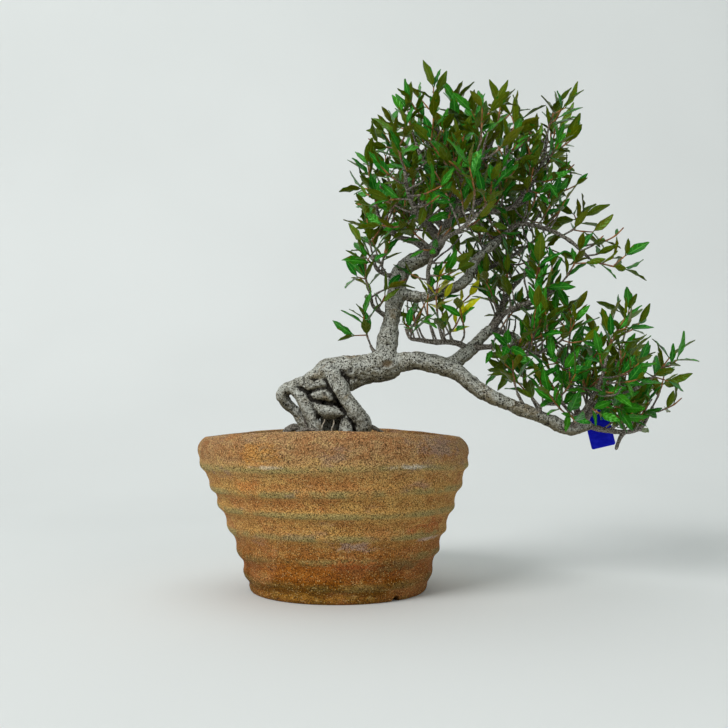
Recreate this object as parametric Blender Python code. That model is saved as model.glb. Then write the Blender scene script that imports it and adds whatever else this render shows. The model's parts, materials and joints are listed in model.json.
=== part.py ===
"""A small dwarf-jasmine bonsai in a ridged, unglazed clay pot.

The origin is the middle of the pot's flat underside, +Z is up and -Y is the side that faces the
viewer, towards which the pot's rim is highest. Sizes are millimetres until a mesh is made.

The pot is one turned solid, with drain holes and grooves cut in its foot. The soil fills it, and
the roots stand in plain holes in the soil. Roots, trunk and branches are one piece of wood. Each
leafy shoot is a piece of its own that goes on from the wood: a stem, its side twigs and its leaves.
"""

import bpy
import numpy as np
from mathutils.bvhtree import BVHTree

MM = 0.001
UP = np.array((0.0, 0.0, 1.0))
GAP = 0.3
SHARP_ANGLE = np.radians(50.0)

# Heights in all these tables are counted from a level a little below the pot's underside.
FOOT_LEVEL = 2.5

# The pot: a foot, a flared wall with throwing ridges, and a rim that dips at the sides.
POT_SEGMENTS = 30
WALL_PROFILE = (
    (2.5, 43.0), (5.5, 44.0), (16.0, 46.9), (27.0, 50.8), (50.0, 60.0), (58.0, 63.5), (69.0, 67.0),
    (76.0, 67.4),
)
WALL = 6.0
FLOOR = 8.0
FOOT_HEIGHT = 2.0
CREST_HEIGHTS = (10.4, 21.3, 31.9, 43.2, 52.8, 62.9)
RIDGE_DEPTH = 0.85
RIDGE_WAVER = 0.7
RIM_HEIGHT = 79.0
RIM_WAVE = 1.9
RIM_TILT = 0.35
LIP_ROUND = 7.5
POT_LEAN = -2.6
LEAN_HEIGHT = 75.0
DRAIN_RADIUS = 5.0
DRAIN_FROM_MIDDLE = 21.0
DRAIN_COUNT = 3
DRAIN_FIRST_ANGLE = np.radians(-51.0)
GROOVE_WIDTH = 3.4
GROOVE_DEPTH = 2.0

# The soil, heaped a little round the foot of the tree.
SOIL_EDGE = 70.5
SOIL_HEAP = 5.5
SOIL_HEAP_WIDTH = 24.0
SOIL_RINGS = 4
TREE_FOOT = np.array((-4.0, 2.0))

# Roots, as (x, y, z, radius) along each. They end below the soil's surface.
ROOTS = {
    "head": (
        (-3.9, 0, 111.0, 5.8), (-10.4, -1, 106.5, 4.5), (-16.3, -2, 103.8, 3.5), (-22.3, -2, 101.4, 3.1),
        (-26.6, -1, 99.9, 3.1), (-27.9, 0, 96.6, 3.0), (-24.6, 1, 92.4, 2.6), (-21.6, 1, 89.4, 2.5),
        (-19.2, 1, 85.8, 2.4), (-17.6, 1, 82.0, 2.3), (-16.9, 1, 78.0, 2.2), (-16.7, 1, 68.5, 2.0),
    ),
    "front": (
        (-22.5, -3, 100.5, 2.7), (-19.5, -5, 97.8, 3.0), (-16.4, -7, 93.8, 3.1), (-14.2, -8, 89.4, 3.2),
        (-12.0, -9, 84.8, 3.1), (-10.8, -9, 80.0, 2.9), (-10.4, -9, 68.5, 2.3),
    ),
    "shelf": (
        (-18.0, -5, 103.0, 2.3), (-14.0, -6.8, 102.0, 2.7), (-10.0, -7.2, 101.8, 2.8), (-6.2, -6, 102.2, 2.6),
        (-3.0, -3, 103.0, 2.2),
    ),
    "knot_upper": (
        (-13.4, -4, 96.0, 2.5), (-10.0, -7.5, 97.3, 3.0), (-6.1, -8.5, 97.2, 3.1), (-2.6, -7.5, 95.8, 3.0),
        (0.6, -4, 93.8, 2.6),
    ),
    "knot_lower": (
        (-12.0, -3, 94.2, 2.5), (-10.0, -8, 90.9, 3.0), (-6.1, -9.5, 88.9, 3.3), (-1.6, -9.5, 88.7, 3.3),
        (2.3, -8, 87.9, 3.1), (5.4, -4, 86.4, 2.8),
    ),
    "big": (
        (-4.2, -2, 111.5, 4.8), (-2.2, -5.5, 107.0, 4.8), (0.8, -9, 100.7, 4.2), (4.3, -10, 94.8, 3.8),
        (8.2, -10, 88.9, 3.9), (11.1, -9, 84.5, 3.9), (12.1, -8, 79.0, 3.7), (11.6, -6, 68.5, 3.0),
    ),
    "small": (
        (1.5, -6, 88.0, 2.4), (3.4, -9, 84.6, 2.7), (3.8, -10, 81.4, 3.3), (3.8, -10, 76.0, 3.2),
        (3.8, -9, 68.5, 2.6),
    ),
    "back_left": (
        (-10.6, 4, 106.3, 3.5), (-12.9, 9, 99.4, 3.1), (-14.1, 12, 92.3, 2.8), (-14.7, 14, 85.1, 2.7),
        (-15.2, 15, 77.9, 2.6), (-15.2, 15, 68.5, 2.2),
    ),
    "back_right": (
        (-2.6, 4, 108.3, 4.0), (-0.7, 10, 101.4, 3.4), (1.3, 14, 94.4, 3.1), (3.3, 17, 87.2, 3.0),
        (4.3, 19, 79.9, 2.8), (4.8, 20, 68.5, 2.3),
    ),
    "heel": ((14.5, -1, 107.5, 4.0), (8.5, -2, 105.0, 3.5), (3.0, -3, 102.5, 3.6)),
    "hook": ((-20.3, 1, 100.5, 2.0), (-17.8, 2, 95.5, 2.0), (-15.6, 2, 91.0, 1.8), (-13.5, 2, 88.0, 1.8)),
    "core": (
        (-6.5, 1, 105.2, 4.0), (-5.6, 2, 98.5, 4.8), (-4.6, 2.5, 91.0, 5.4), (-3.6, 3, 83.1, 5.6),
        (-3.0, 4, 68.5, 4.8),
    ),
    "core_right": ((-1.0, -1, 102.0, 3.6), (2.6, 0, 94.0, 3.8), (5.2, 1, 85.0, 3.8), (6.2, 2, 68.5, 3.2)),
}
BURIED_ROOTS = ("head", "front", "big", "small", "back_left", "back_right", "core", "core_right")

# The trunk and its boughs: the leaning base, the leader, the falling bough and what they carry.
BOUGHS = {
    "trunk": (
        (-12.5, 2, 102.5, 4.5), (-8.5, 1, 106.2, 6.0), (-3.9, 0, 108.6, 7.2), (4.6, -1, 110, 7.0),
        (13.6, -1, 110.5, 7.2), (21.6, 0, 112.1, 7.5), (28.6, 0, 114.2, 6.0),
    ),
    "leader": (
        (23.0, 0, 113.1, 5.0), (24.1, 0, 120.1, 4.8), (24.7, 0, 126.2, 4.6), (26.6, 0, 137.8, 4.2),
        (28.7, 0, 147.4, 4.6), (30.2, 0, 157, 4.3), (34.8, 0, 163.1, 3.9), (42.4, 0, 167.2, 3.5),
        (49, 0, 172.8, 3.2), (52.5, 0, 179, 3.0), (57.2, 1, 186.9, 2.7), (62.5, 2, 193.8, 2.2),
        (66.8, 4, 202.6, 1.7),
    ),
    "fall": (
        (26.6, 0, 113.6, 5.5), (32.6, -1, 114, 4.8), (38.5, -2, 114.5, 4.5), (45.4, -3, 113.4, 4.3),
        (51.8, -4, 111.4, 4.3), (59.1, -5, 108.3, 3.8), (67.9, -6, 100.9, 3.6), (77.2, -6, 95.7, 3.3),
        (86.2, -5, 92, 3.2), (95.9, -3, 88.3, 3.2), (105.2, -1, 84.8, 3.1), (114.3, 0, 81.1, 3.2),
        (120.3, 0, 81.6, 2.8), (125.4, 0, 83.1, 2.1),
    ),
    "middle": (
        (53.4, -3, 111.9, 3.2), (59.6, -1, 115, 3.1), (63.9, 1, 118.7, 2.9), (67.6, 3, 121.9, 2.7),
        (71.3, 4, 126, 2.5), (75, 5, 129.7, 2.4), (78.8, 6, 131.8, 2.2),
    ),
    "elbow": (
        (29.7, 0, 149.4, 3.0), (36.7, -2, 147.1, 2.6), (42.5, -4, 146.3, 2.3), (48.9, -5, 147.7, 2.3),
        (56, -4, 150.4, 2.3), (61.7, -3, 153.5, 2.2), (65.4, -1, 157.4, 2.1), (67.2, 1, 162.8, 2.0),
        (70.9, 2, 167.6, 1.9), (75.6, 3, 171.9, 1.8), (81.4, 4, 176.2, 1.6),
    ),
}

# The branches that carry shoots: the route, and how many shoots each one carries.
BRANCHES = {
    "low_left": (
        ((45.9, 0, 170.8, 2.0), (37.6, -4, 174.1, 1.7), (30, -8, 175.8, 1.4), (24, -10, 179.4, 1.2),
         (20, -11, 185, 1.0), (18.5, -11, 192, 0.8)), 2,
    ),
    "mid_left": (
        ((54.1, 0, 182, 2.0), (46.8, 4, 188.6, 1.6), (39.4, 8, 191.6, 1.3), (33, 11, 193, 1.2),
         (28.5, 12, 198, 1.0), (27.0, 12, 205, 0.8)), 1,
    ),
    "up_left": (
        ((57.1, 0, 187.2, 2.0), (53.7, -5, 193.6, 1.6), (47.3, -10, 201.4, 1.3), (42.2, -13, 211.2, 1.1),
         (38.2, -14, 221.4, 0.8)), 2,
    ),
    "up_front": (((60, 1.5, 190.3, 1.8), (55.5, -2, 203, 1.4), (51.5, -4, 217, 1.2), (50, -5, 232, 0.8)), 2),
    "crest": (((66.8, 4, 202.6, 1.7), (70, 6, 213, 1.3), (76, 6, 222, 1.1), (80, 5, 232, 0.8)), 2),
    "up_mid": (
        ((63, 2, 193.8, 2.0), (66.3, 8, 205.7, 1.5), (66.1, 14, 220.1, 1.3), (63.3, 17, 233.8, 0.9)), 2,
    ),
    "up_right": (
        ((60.3, 1, 190.5, 2.0), (70, -3, 194.1, 1.6), (77.9, -8, 200.5, 1.3), (82.3, -12, 209.4, 1.1),
         (83.3, -13, 220.2, 0.8)), 2,
    ),
    "long_right": (
        ((56.1, 0, 185.1, 2.0), (68.5, 2, 189.2, 1.7), (80.6, 4, 191.7, 1.5), (90.6, 6, 194.8, 1.3),
         (100.1, 7, 201.3, 1.1), (105.5, 7, 210.7, 0.9), (108, 7, 221.2, 0.8)), 3,
    ),
    "front_left": (
        ((49.8, -2, 175.5, 1.8), (44, -14, 179, 1.5), (37.4, -26, 184.1, 1.2), (33.2, -34, 191.7, 1.0),
         (31.7, -38, 200.1, 0.8)), 2,
    ),
    "front_mid": (
        ((54.3, -3, 182.4, 1.8), (55.6, -16, 186.5, 1.5), (59.2, -28, 191.4, 1.2), (63, -36, 198.8, 1.0),
         (64.7, -38, 207.7, 0.8)), 2,
    ),
    "front_low": (
        ((43.3, -2, 167.4, 1.7), (45.9, -14, 169.1, 1.4), (51.7, -26, 171.6, 1.1), (58.4, -34, 174.7, 0.9),
         (65.4, -38, 180.4, 0.8)), 1,
    ),
    "back_left": (
        ((51.2, 2, 177.3, 1.8), (46.1, 16, 188.7, 1.6), (39.5, 28, 202.3, 1.4), (34.4, 34, 215.9, 1.1),
         (31.3, 36, 227.6, 0.9)), 2,
    ),
    "back_mid": (
        ((59, 3, 189.4, 1.8), (68.5, 18, 201.9, 1.6), (78.6, 30, 213.7, 1.4), (84.6, 35, 224, 1.1),
         (86, 36, 232, 0.9)), 2,
    ),
    "back_low": (
        ((69.5, 3, 165.2, 1.7), (77.5, 16, 174.9, 1.5), (86.7, 27, 187, 1.3), (94, 31, 195.1, 1.1),
         (98, 32, 204, 0.9)), 1,
    ),
    "far_right": (
        ((79.9, 4, 175.2, 1.6), (86.2, 5, 181.6, 1.4), (93.4, 5, 185.2, 1.3), (103.7, 3, 182.7, 1.2),
         (110.7, 0, 179, 1.1), (117, -2, 174.5, 1.0), (122, -4, 169, 0.9), (125, -5, 165.5, 0.8)), 2,
    ),
    "rear_rise": (
        ((66.2, 1, 160.8, 1.5), (73.7, 12, 161.6, 1.3), (84.3, 20, 168.2, 1.2), (96.7, 24, 175.4, 1.0),
         (106.7, 26, 183.3, 0.8)), 2,
    ),
    "stub": (
        ((46.5, -5, 147.7, 1.8), (45.3, -8, 152.3, 1.5), (44, -12, 157.6, 1.2), (45.7, -16, 163.8, 0.9)), 0,
    ),
    "middle_rise": (
        ((77.7, 6, 130.8, 2.0), (83.6, 4, 138.8, 1.6), (91.1, 0, 142.3, 1.4), (100.4, -4, 145.3, 1.2),
         (108.5, -6, 150.6, 0.9)), 2,
    ),
    "middle_fork": (
        ((77.7, 6, 130.3, 2.0), (85.3, 9, 129.6, 1.6), (91.4, 12, 127.8, 1.4), (96.2, 13, 122.2, 1.2),
         (103.2, 12, 117.5, 0.9)), 2,
    ),
    "middle_back": (
        ((76.7, 6, 130.3, 1.8), (82.1, 14, 140, 1.6), (88.6, 22, 151.5, 1.4), (96, 27, 160.1, 1.2),
         (102, 28, 168, 0.9)), 2,
    ),
    "under_right": (
        ((68, 2, 120.3, 1.8), (74.5, -2, 121.5, 1.5), (81.4, -6, 120.7, 1.3), (88.1, -10, 117.9, 1.1),
         (95.2, -14, 117.1, 1.0), (103.1, -18, 119.7, 0.8)), 2,
    ),
    "inner_left": (
        ((66, 2, 119.3, 1.9), (60.2, -1, 123.1, 1.6), (53.9, -4, 123.8, 1.5), (47.3, -6, 123.6, 1.4),
         (40.3, -7, 124.5, 1.2), (35.3, -8, 125.4, 1.0), (33.4, -8, 130.0, 0.8)), 0,
    ),
    "tip_rise": (
        ((118.3, 0, 81.6, 1.9), (118.2, -3, 89.1, 1.6), (116.9, -5, 95.9, 1.4), (113.6, -7, 104.3, 1.3),
         (111.5, -8, 113.6, 1.1), (113.6, -8, 122.5, 0.8)), 2,
    ),
    "tip_right": (
        ((122.3, 0, 82.1, 1.9), (124.4, -6, 89.5, 1.6), (129.2, -9, 94.4, 1.4), (135, -11, 97.3, 1.2),
         (142, -12, 98.8, 1.0), (148, -13, 102.5, 0.8)), 2,
    ),
    "tip_low": (
        ((124.1, 1, 82.6, 1.7), (133.3, 4, 80.1, 1.5), (144.3, 7, 79, 1.2), (152.5, 9, 80.4, 1.1),
         (157, 10, 85.6, 0.9), (160, 10, 92, 0.8)), 2,
    ),
    "tip_back": (
        ((121.6, 1, 82.6, 1.7), (125.8, 9, 90.5, 1.5), (131.5, 13, 94.2, 1.3), (137, 17, 98.6, 1.2),
         (143, 20, 112, 1.0), (148, 21, 124, 0.8)), 1,
    ),
    "tip_front": (
        ((116.1, -1, 81.6, 1.7), (118.5, -12, 88, 1.4), (121.5, -20, 95.6, 1.1), (124.6, -25, 103.9, 1.0),
         (126.6, -27, 113.3, 0.8)), 1,
    ),
    "side_twig": (
        ((100.2, -4, 88.1, 1.2), (99.9, -8, 92.4, 1.0), (106.7, -11, 92.9, 0.9), (113.1, -13, 94.8, 0.8)), 1,
    ),
    "heart_left": (
        ((28.2, 0, 157.6, 1.5), (22.5, -3, 158.1, 1.1), (18.6, -5, 161, 1.0), (17, -6, 166.5, 0.8)), 1,
    ),
    "left_bough": (
        ((25.2, 0, 136.3, 1.6), (20.5, -2, 139, 1.2), (17, -4, 142, 1.0), (15.5, -5, 147.5, 0.8)), 1,
    ),
    "right_rise": (
        ((90.6, 6, 194.8, 1.3), (97, 0, 204, 1.2), (102.5, -5, 215, 1.0), (104, -8, 226, 0.8)), 2,
    ),
    "bright_twig": (((52.0, -4.5, 124.0, 1.3), (50.5, -6, 129, 0.9), (49.5, -7, 132.5, 0.8)), 1),
    "spur": (((143.7, 7, 79.0, 1.2), (141.5, 6, 75, 1.0), (139.6, 5, 70.5, 0.8)), 0),
    "neck_twig": (((20.0, 0, 115.5, 1.3), (17.5, -2, 119.5, 0.9), (16.0, -3, 122, 0.8)), 1),
    "drop_left": (((93.5, -3, 89.0, 1.3), (90.6, -6, 93.5, 0.9), (88.0, -8, 98, 0.8)), 1),
    "drop_right": (((102.5, -2, 85.5, 1.3), (99.5, 3, 91.5, 0.9), (97.5, 5, 96, 0.8)), 1),
}

# The middle of each mass of leaves. A shoot turns away from the one it is nearest to.
LEAF_MASSES = np.array(
    (
        (62.0, 0.0, 185.0), (24.0, 0.0, 145.0), (45.0, 0.0, 105.0), (96.0, 4.0, 150.0), (118.0, 0.0, 102.0),
        (95.0, 0.0, 82.0),
    )
)

# Shoots and leaves.
SEED = 3
SHOOT_LENGTH = (12.0, 19.0)
SHOOT_RADIUS = (0.85, 0.55)
NODE_RUN = 1.5
TWIG_LENGTH = (4.5, 9.5)
TWIG_WITH_PAIR = 8.2
TWIG_RADIUS = (0.65, 0.5)
LEAF_LENGTH = (9.5, 16.0)
LEAF_WIDTH_SHARE = (0.27, 0.38)
LEAF_THICKNESS = 0.7
LEAF_STATIONS = ((0.36, 1.0), (0.70, 0.74))
CLEAR_OF_STEM = 0.3
CLEAR_OF_LEAF = 0.06
TRIES = 9

# Boughs that the front view shows bare, as shares of their length, and where that view is from.
SHOWN_BARE = {"leader": (0.10, 0.80), "elbow": (0.0, 0.72), "middle": (0.1, 0.9)}
FRONT_VIEW = np.array((12.6, -450.0, 84.6))
OPENING_DEPTH = 0.14

# The blank hanging tag and the wire loop that it hangs from.
TAG_SIZE = (12.5, 0.8, 20.5)
TAG_TILT = np.radians(13.0)
TAG_HOLE_RADIUS = 1.3
TAG_HOLE_FROM_TOP = 2.6
LOOP_AT = np.array((131.5, 13.0, 94.2))
LOOP_BRANCH_RADIUS = 1.3
LOOP_RADIUS = 3.4
LOOP_WIRE = 0.35


def unit(vector):
    return vector / np.linalg.norm(vector)


def smooth_route(points, count):
    """A Catmull-Rom curve through the points and radii, read at count even steps of its length."""
    points = np.asarray(points, float)
    padded = np.vstack((2 * points[0] - points[1], points, 2 * points[-1] - points[-2]))
    t = np.linspace(0, 1, 12, endpoint=False)[:, None]
    spans = []
    for i in range(len(points) - 1):
        a, b, c, d = padded[i : i + 4]
        cubic = 2 * b + (c - a) * t + (2 * a - 5 * b + 4 * c - d) * t**2 + (3 * b - a - 3 * c + d) * t**3
        spans.append(0.5 * cubic)
    dense = np.vstack((*spans, points[-1:]))
    run = np.append(0, np.cumsum(np.linalg.norm(np.diff(dense[:, :3], axis=0), axis=1)))
    even = np.linspace(0, run[-1], count)
    return np.column_stack([np.interp(even, run, column) for column in dense.T])


def directions(route):
    """The unit direction of the route at each of its points."""
    steps = np.gradient(route[:, :3], axis=0)
    return steps / np.linalg.norm(steps, axis=1)[:, None]


def at_share(route, share):
    """(point, direction, radius) at a share of the route's points, from 0 to 1."""
    where = share * (len(route) - 1)
    along = directions(route)
    index = np.arange(len(route))
    point = np.array([np.interp(where, index, route[:, k]) for k in range(4)])
    heading = np.array([np.interp(where, index, along[:, k]) for k in range(3)])
    return point[:3], unit(heading), point[3]


def across(direction, turn=0.0):
    """A unit vector square to the direction, turned about it."""
    other = np.array((1.0, 0.0, 0.0)) if abs(direction[0]) < 0.8 else np.array((0.0, 1.0, 0.0))
    first = unit(np.cross(direction, other))
    return first * np.cos(turn) + np.cross(direction, first) * np.sin(turn)


def corner_rings(route, sides, first=None, extra=0.0):
    """A ring of corners at each point of the route, with as little twist as can be from the first."""
    normal = first
    rings = []
    turns = np.arange(sides) * 2 * np.pi / sides
    for (x, y, z, radius), heading in zip(route, directions(route)):
        normal = across(heading) if normal is None else unit(normal - heading * np.dot(normal, heading))
        circle = np.outer(np.cos(turns), normal) + np.outer(np.sin(turns), np.cross(heading, normal))
        rings.append(np.array((x, y, z)) + circle * (radius + extra))
    return np.array(rings)


def tube(route, sides, extra=0.0, longer=0.0):
    """(points, faces) of a closed tube with a ring of corners at each point of the route."""
    route = np.array(route, float)
    route[-1, :3] += directions(route)[-1] * longer
    rings = corner_rings(route, sides, extra=extra)
    faces = [tuple(range(sides))[::-1]]
    for i in range(len(route) - 1):
        for k in range(sides):
            a, b = i * sides + k, i * sides + (k + 1) % sides
            faces.append((a, b, b + sides, a + sides))
    last = (len(route) - 1) * sides
    faces.append(tuple(range(last, last + sides)))
    return rings.reshape(-1, 3), faces


def leaf(root, way, upper, length, width, arch):
    """One leaf: its root's corners, the way it points, the way its upper face looks, and its size.

    The corners of the root are the rib's and then those of the two margins."""
    upper = unit(upper - way * np.dot(upper, way))
    return {"root": root, "way": way, "upper": upper, "length": length, "width": width, "arch": arch}


def blade(shape, extra=0.0):
    """(points, faces) of a leaf: its root, two more three-cornered sections, and the tip.

    The rib runs below the two margins, and the blade arches back by the square of the way along."""
    way, upper, length = shape["way"], shape["upper"], shape["length"]
    side = np.cross(way, upper)
    start = shape["root"].mean(0)

    def middle(share):
        return start + way * length * share - upper * shape["arch"] * length * share**2

    spokes = shape["root"] - start
    points = list(shape["root"] + spokes / np.linalg.norm(spokes, axis=1)[:, None] * extra)
    for share, wide in LEAF_STATIONS:
        half = shape["width"] / 2 * wide + extra
        lift = LEAF_THICKNESS / 2 + extra
        points.append(middle(share) - upper * lift)
        points += [middle(share) - side * half + upper * lift, middle(share) + side * half + upper * lift]
    points.append(middle(1.0) + way * extra)
    faces = [(2, 1, 0)]
    for a, b in ((0, 1), (1, 2), (2, 0)):
        faces += [(a, b, b + 3), (a, b + 3, a + 3)]
        faces += [(a + 3, b + 3, b + 6), (a + 3, b + 6, a + 6), (a + 6, b + 6, 9)]
    return np.array(points), faces


def outer_blade(shape, share):
    """A leaf without the part next to its root, for the tests against its own shoot."""
    points, faces = blade(shape)
    points[:3] += share * (points[3:6] - points[:3])
    return points, faces


def outer_twig(route):
    """A twig without the part next to the stem that it grows from, for the same tests."""
    outer = route.copy()
    outer[0] += CLEAR_OF_STEM * (outer[1] - outer[0])
    return tube(outer, 4, GAP / 2)


def crosses_itself(solid):
    """Whether two faces that share no point cross."""
    points, faces = solid
    tree = BVHTree.FromPolygons([tuple(p) for p in points], faces)
    return any(not set(faces[a]) & set(faces[b]) for a, b in tree.overlap(tree))


class Space:
    """The solids placed so far, each with its box, its faces and its owner."""

    def __init__(self):
        self.lows, self.highs, self.trees, self.owners = [], [], [], []

    def add(self, solid, owner):
        points, faces = solid
        self.lows.append(points.min(0))
        self.highs.append(points.max(0))
        self.trees.append(BVHTree.FromPolygons([tuple(p) for p in points], faces))
        self.owners.append(owner)

    def free(self, solid, skip=(), only=None):
        """Whether nothing crosses the solid, leaving out the owners to skip, or testing one alone."""
        points, faces = solid
        low, high = points.min(0), points.max(0)
        near = np.all((np.array(self.lows) < high) & (np.array(self.highs) > low), axis=1)
        tree = None
        for i in np.flatnonzero(near):
            if self.owners[i] in skip or (only is not None and self.owners[i] != only):
                continue
            tree = tree or BVHTree.FromPolygons([tuple(p) for p in points], faces)
            if tree.overlap(self.trees[i]):
                return False
        return True

    def forget(self, count):
        """Takes away the solids added after the first count of them."""
        for kept in (self.lows, self.highs, self.trees, self.owners):
            del kept[count:]


def bent_stem(rng, start, heading, runs, radii, rise):
    """A stem in straight runs that starts along its heading and turns up towards the light."""
    points = [start]
    for k, run in enumerate(runs):
        points.append(points[-1] + heading * run)
        if run > NODE_RUN:
            heading = unit(heading + UP * rise + rng.normal(0, 0.14, 3))
    return np.column_stack((np.array(points), np.linspace(radii[0], radii[1], len(points))))


def try_leaf(rng, space, owner, root, axis, out, opening):
    """A leaf at the root, tried with small changes until it is clear of all else, or None."""
    length = rng.uniform(*LEAF_LENGTH)
    width = length * rng.uniform(*LEAF_WIDTH_SHARE)
    arch = rng.uniform(0.02, 0.16)
    for _ in range(TRIES):
        spread = np.radians(opening) + rng.normal(0, 0.2)
        aside = np.cross(axis, out) * rng.normal(0, 0.22)
        way = unit(axis * np.cos(spread) + out * np.sin(spread) + aside + UP * 0.22)
        upper = axis * np.sin(spread) - out * np.cos(spread) + UP * 0.3 + rng.normal(0, 0.18, 3)
        grown = leaf(root, way, upper, length, width, arch)
        if (
            not crosses_itself(blade(grown))
            and space.free(outer_blade(grown, CLEAR_OF_STEM), only=owner)
            and space.free(outer_blade(grown, CLEAR_OF_LEAF), only=owner + " leaves")
            and space.free(blade(grown, GAP), skip=(owner, owner + " leaves"))
        ):
            space.add(blade(grown), owner + " leaves")
            return grown
        length *= 0.95
        width *= 0.95
    return None


class Limb:
    """A four-sided stem: its route, its rings, and what grows from each of its faces."""

    def __init__(self, route, first):
        self.route = route
        self.rings = corner_rings(route, 4, first)
        self.grown = {}

    def face(self, run, side):
        """(corners, axis, outward direction) of one face of one run of the stem."""
        lower, upper = self.rings[run], self.rings[run + 1]
        corners = np.array((lower[side], lower[side - 3], upper[side - 3], upper[side]))
        axis = unit(self.route[run + 1, :3] - self.route[run, :3])
        out = corners.mean(0) - self.route[run : run + 2, :3].mean(0)
        return corners, axis, unit(out - axis * np.dot(out, axis))


def add_pair(rng, space, owner, limb, run, side, opening):
    """Two opposite leaves on a short run of the stem."""
    for face in (side, side + 2):
        corners, axis, out = limb.face(run, face)
        limb.grown[run, face] = try_leaf(rng, space, owner, corners[[0, 2, 3]], axis, out, opening)


def add_end_pair(rng, space, owner, limb):
    """Two leaves from the end of a stem, one from each half of its end face."""
    axis = unit(limb.route[-1, :3] - limb.route[-2, :3])
    ring = limb.rings[-1]
    for corner in (1, 3):
        root = ring[[corner, (corner + 1) % 4, corner - 1]]
        out = unit(ring[corner] - ring.mean(0))
        limb.grown["end", corner] = try_leaf(rng, space, owner, root, axis, out, 36)


def add_twig(rng, space, owner, limb, run, side, outward):
    """A side twig from one face of a short run, with a pair part way along it and a pair at its end."""
    corners, axis, out = limb.face(run, side)
    root = corners.mean(0)
    for _ in range(TRIES):
        aside = rng.normal(0, 0.15, 3)
        heading = unit(out + axis * rng.uniform(0.3, 0.8) + outward * 0.3 + UP * 0.15 + aside)
        length = rng.uniform(*TWIG_LENGTH)
        long = length > TWIG_WITH_PAIR
        runs = (length * 0.5, NODE_RUN, length * 0.5) if long else (length,)
        route = bent_stem(rng, root, heading, runs, TWIG_RADIUS, 0.3)
        if (
            np.dot(heading, out) > 0.5
            and space.free(outer_twig(route), only=owner)
            and space.free(tube(route, 4, GAP * 1.5), skip=(owner,))
        ):
            break
    else:
        return None
    corner = corners[0] - root
    twig = Limb(route, unit(corner - heading * np.dot(corner, heading)))
    limb.grown[run, side] = twig
    space.add(tube(route, 4), owner)
    add_end_pair(rng, space, owner, twig)
    if long:
        add_pair(rng, space, owner, twig, 1, int(rng.integers(2)), 52)
    return twig


def start_clear(space, point, heading, reach):
    """The point nearest the branch where a stem can start with a gap to it."""
    for _ in range(24):
        first = point + heading * reach
        stub = np.column_stack((np.array((first, first + heading * 1.5)), (SHOOT_RADIUS[0],) * 2))
        if space.free(tube(stub, 4, GAP)):
            return first
        reach += 0.12
    return None


def grow_shoot(rng, space, name, branch, share):
    """A shoot from a branch: its stem with three pairs of leaves, and twigs from its two lower nodes."""
    at_tip = share == 1.0
    point, tangent, branch_radius = at_share(branch, share)
    mass = LEAF_MASSES[np.argmin(np.linalg.norm(LEAF_MASSES - point, axis=1))]
    outward = unit(point - mass)
    for _ in range(TRIES * 3):
        if at_tip:
            heading = unit(tangent + outward * 0.2 + UP * 0.25 + rng.normal(0, 0.08, 3))
        else:
            wanted = outward + UP * 1.0 + rng.normal(0, 0.38, 3)
            square = wanted - tangent * np.dot(wanted, tangent)
            heading = unit(unit(square) + tangent * 0.45)
        start = start_clear(space, point, heading, GAP if at_tip else branch_radius)
        if start is None:
            continue
        length = rng.uniform(*SHOOT_LENGTH)
        runs = (length * 0.38, NODE_RUN, length * 0.3, NODE_RUN, length * 0.32)
        route = bent_stem(rng, start, heading, runs, SHOOT_RADIUS, 0.22)
        if space.free(tube(route, 4, GAP)):
            break
    else:
        return None
    stem = Limb(route, across(heading, rng.uniform(0, np.pi)))
    space.add(tube(route, 4), name)
    add_end_pair(rng, space, name, stem)
    turn = int(rng.integers(2))
    for run, side in ((3, turn), (1, turn + 1)):
        add_twig(rng, space, name, stem, run, (side + 1 + 2 * int(rng.integers(2))) % 4, outward)
        add_pair(rng, space, name, stem, run, side % 2, 50)
    return {"name": name, "stem": stem}


def front_opening(route, first, last):
    """(points, faces) of the space in front of a bough that leaves keep out of: its outline, drawn
    from the bough towards the front view."""
    line = smooth_route(route, 30)[int(first * 29) : int(last * 29) + 1]
    sight = FRONT_VIEW - line[:, :3]
    side = np.cross(directions(line), sight)
    side *= line[:, 3:] / np.linalg.norm(side, axis=1)[:, None]
    far, near = line[:, :3] + sight * 0.02, line[:, :3] + sight * OPENING_DEPTH
    return turned(np.stack((far - side, far + side, near + side, near - side), axis=1))


def grow_crown(space):
    """Every shoot, branch by branch: one goes on from the tip, the others stand along the branch."""
    for name, (first, last) in SHOWN_BARE.items():
        space.add(front_opening(BOUGHS[name], first, last), "opening")
    shoots = []
    for number, (name, (route, count)) in enumerate(BRANCHES.items()):
        branch = smooth_route(route, len(route))
        for k in range(count):
            rng = np.random.default_rng((SEED, number, k))
            share = 1.0 if k == 0 else 0.95 - 0.27 * k
            for _ in range(TRIES):
                placed = len(space.owners)
                shoot = grow_shoot(rng, space, f"shoot_{name}_{k + 1}", branch, share)
                if shoot is None or not crosses_itself(shoot_solid(shoot)):
                    break
                space.forget(placed)
            if shoot is not None:
                shoots.append(shoot)
    return shoots


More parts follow.
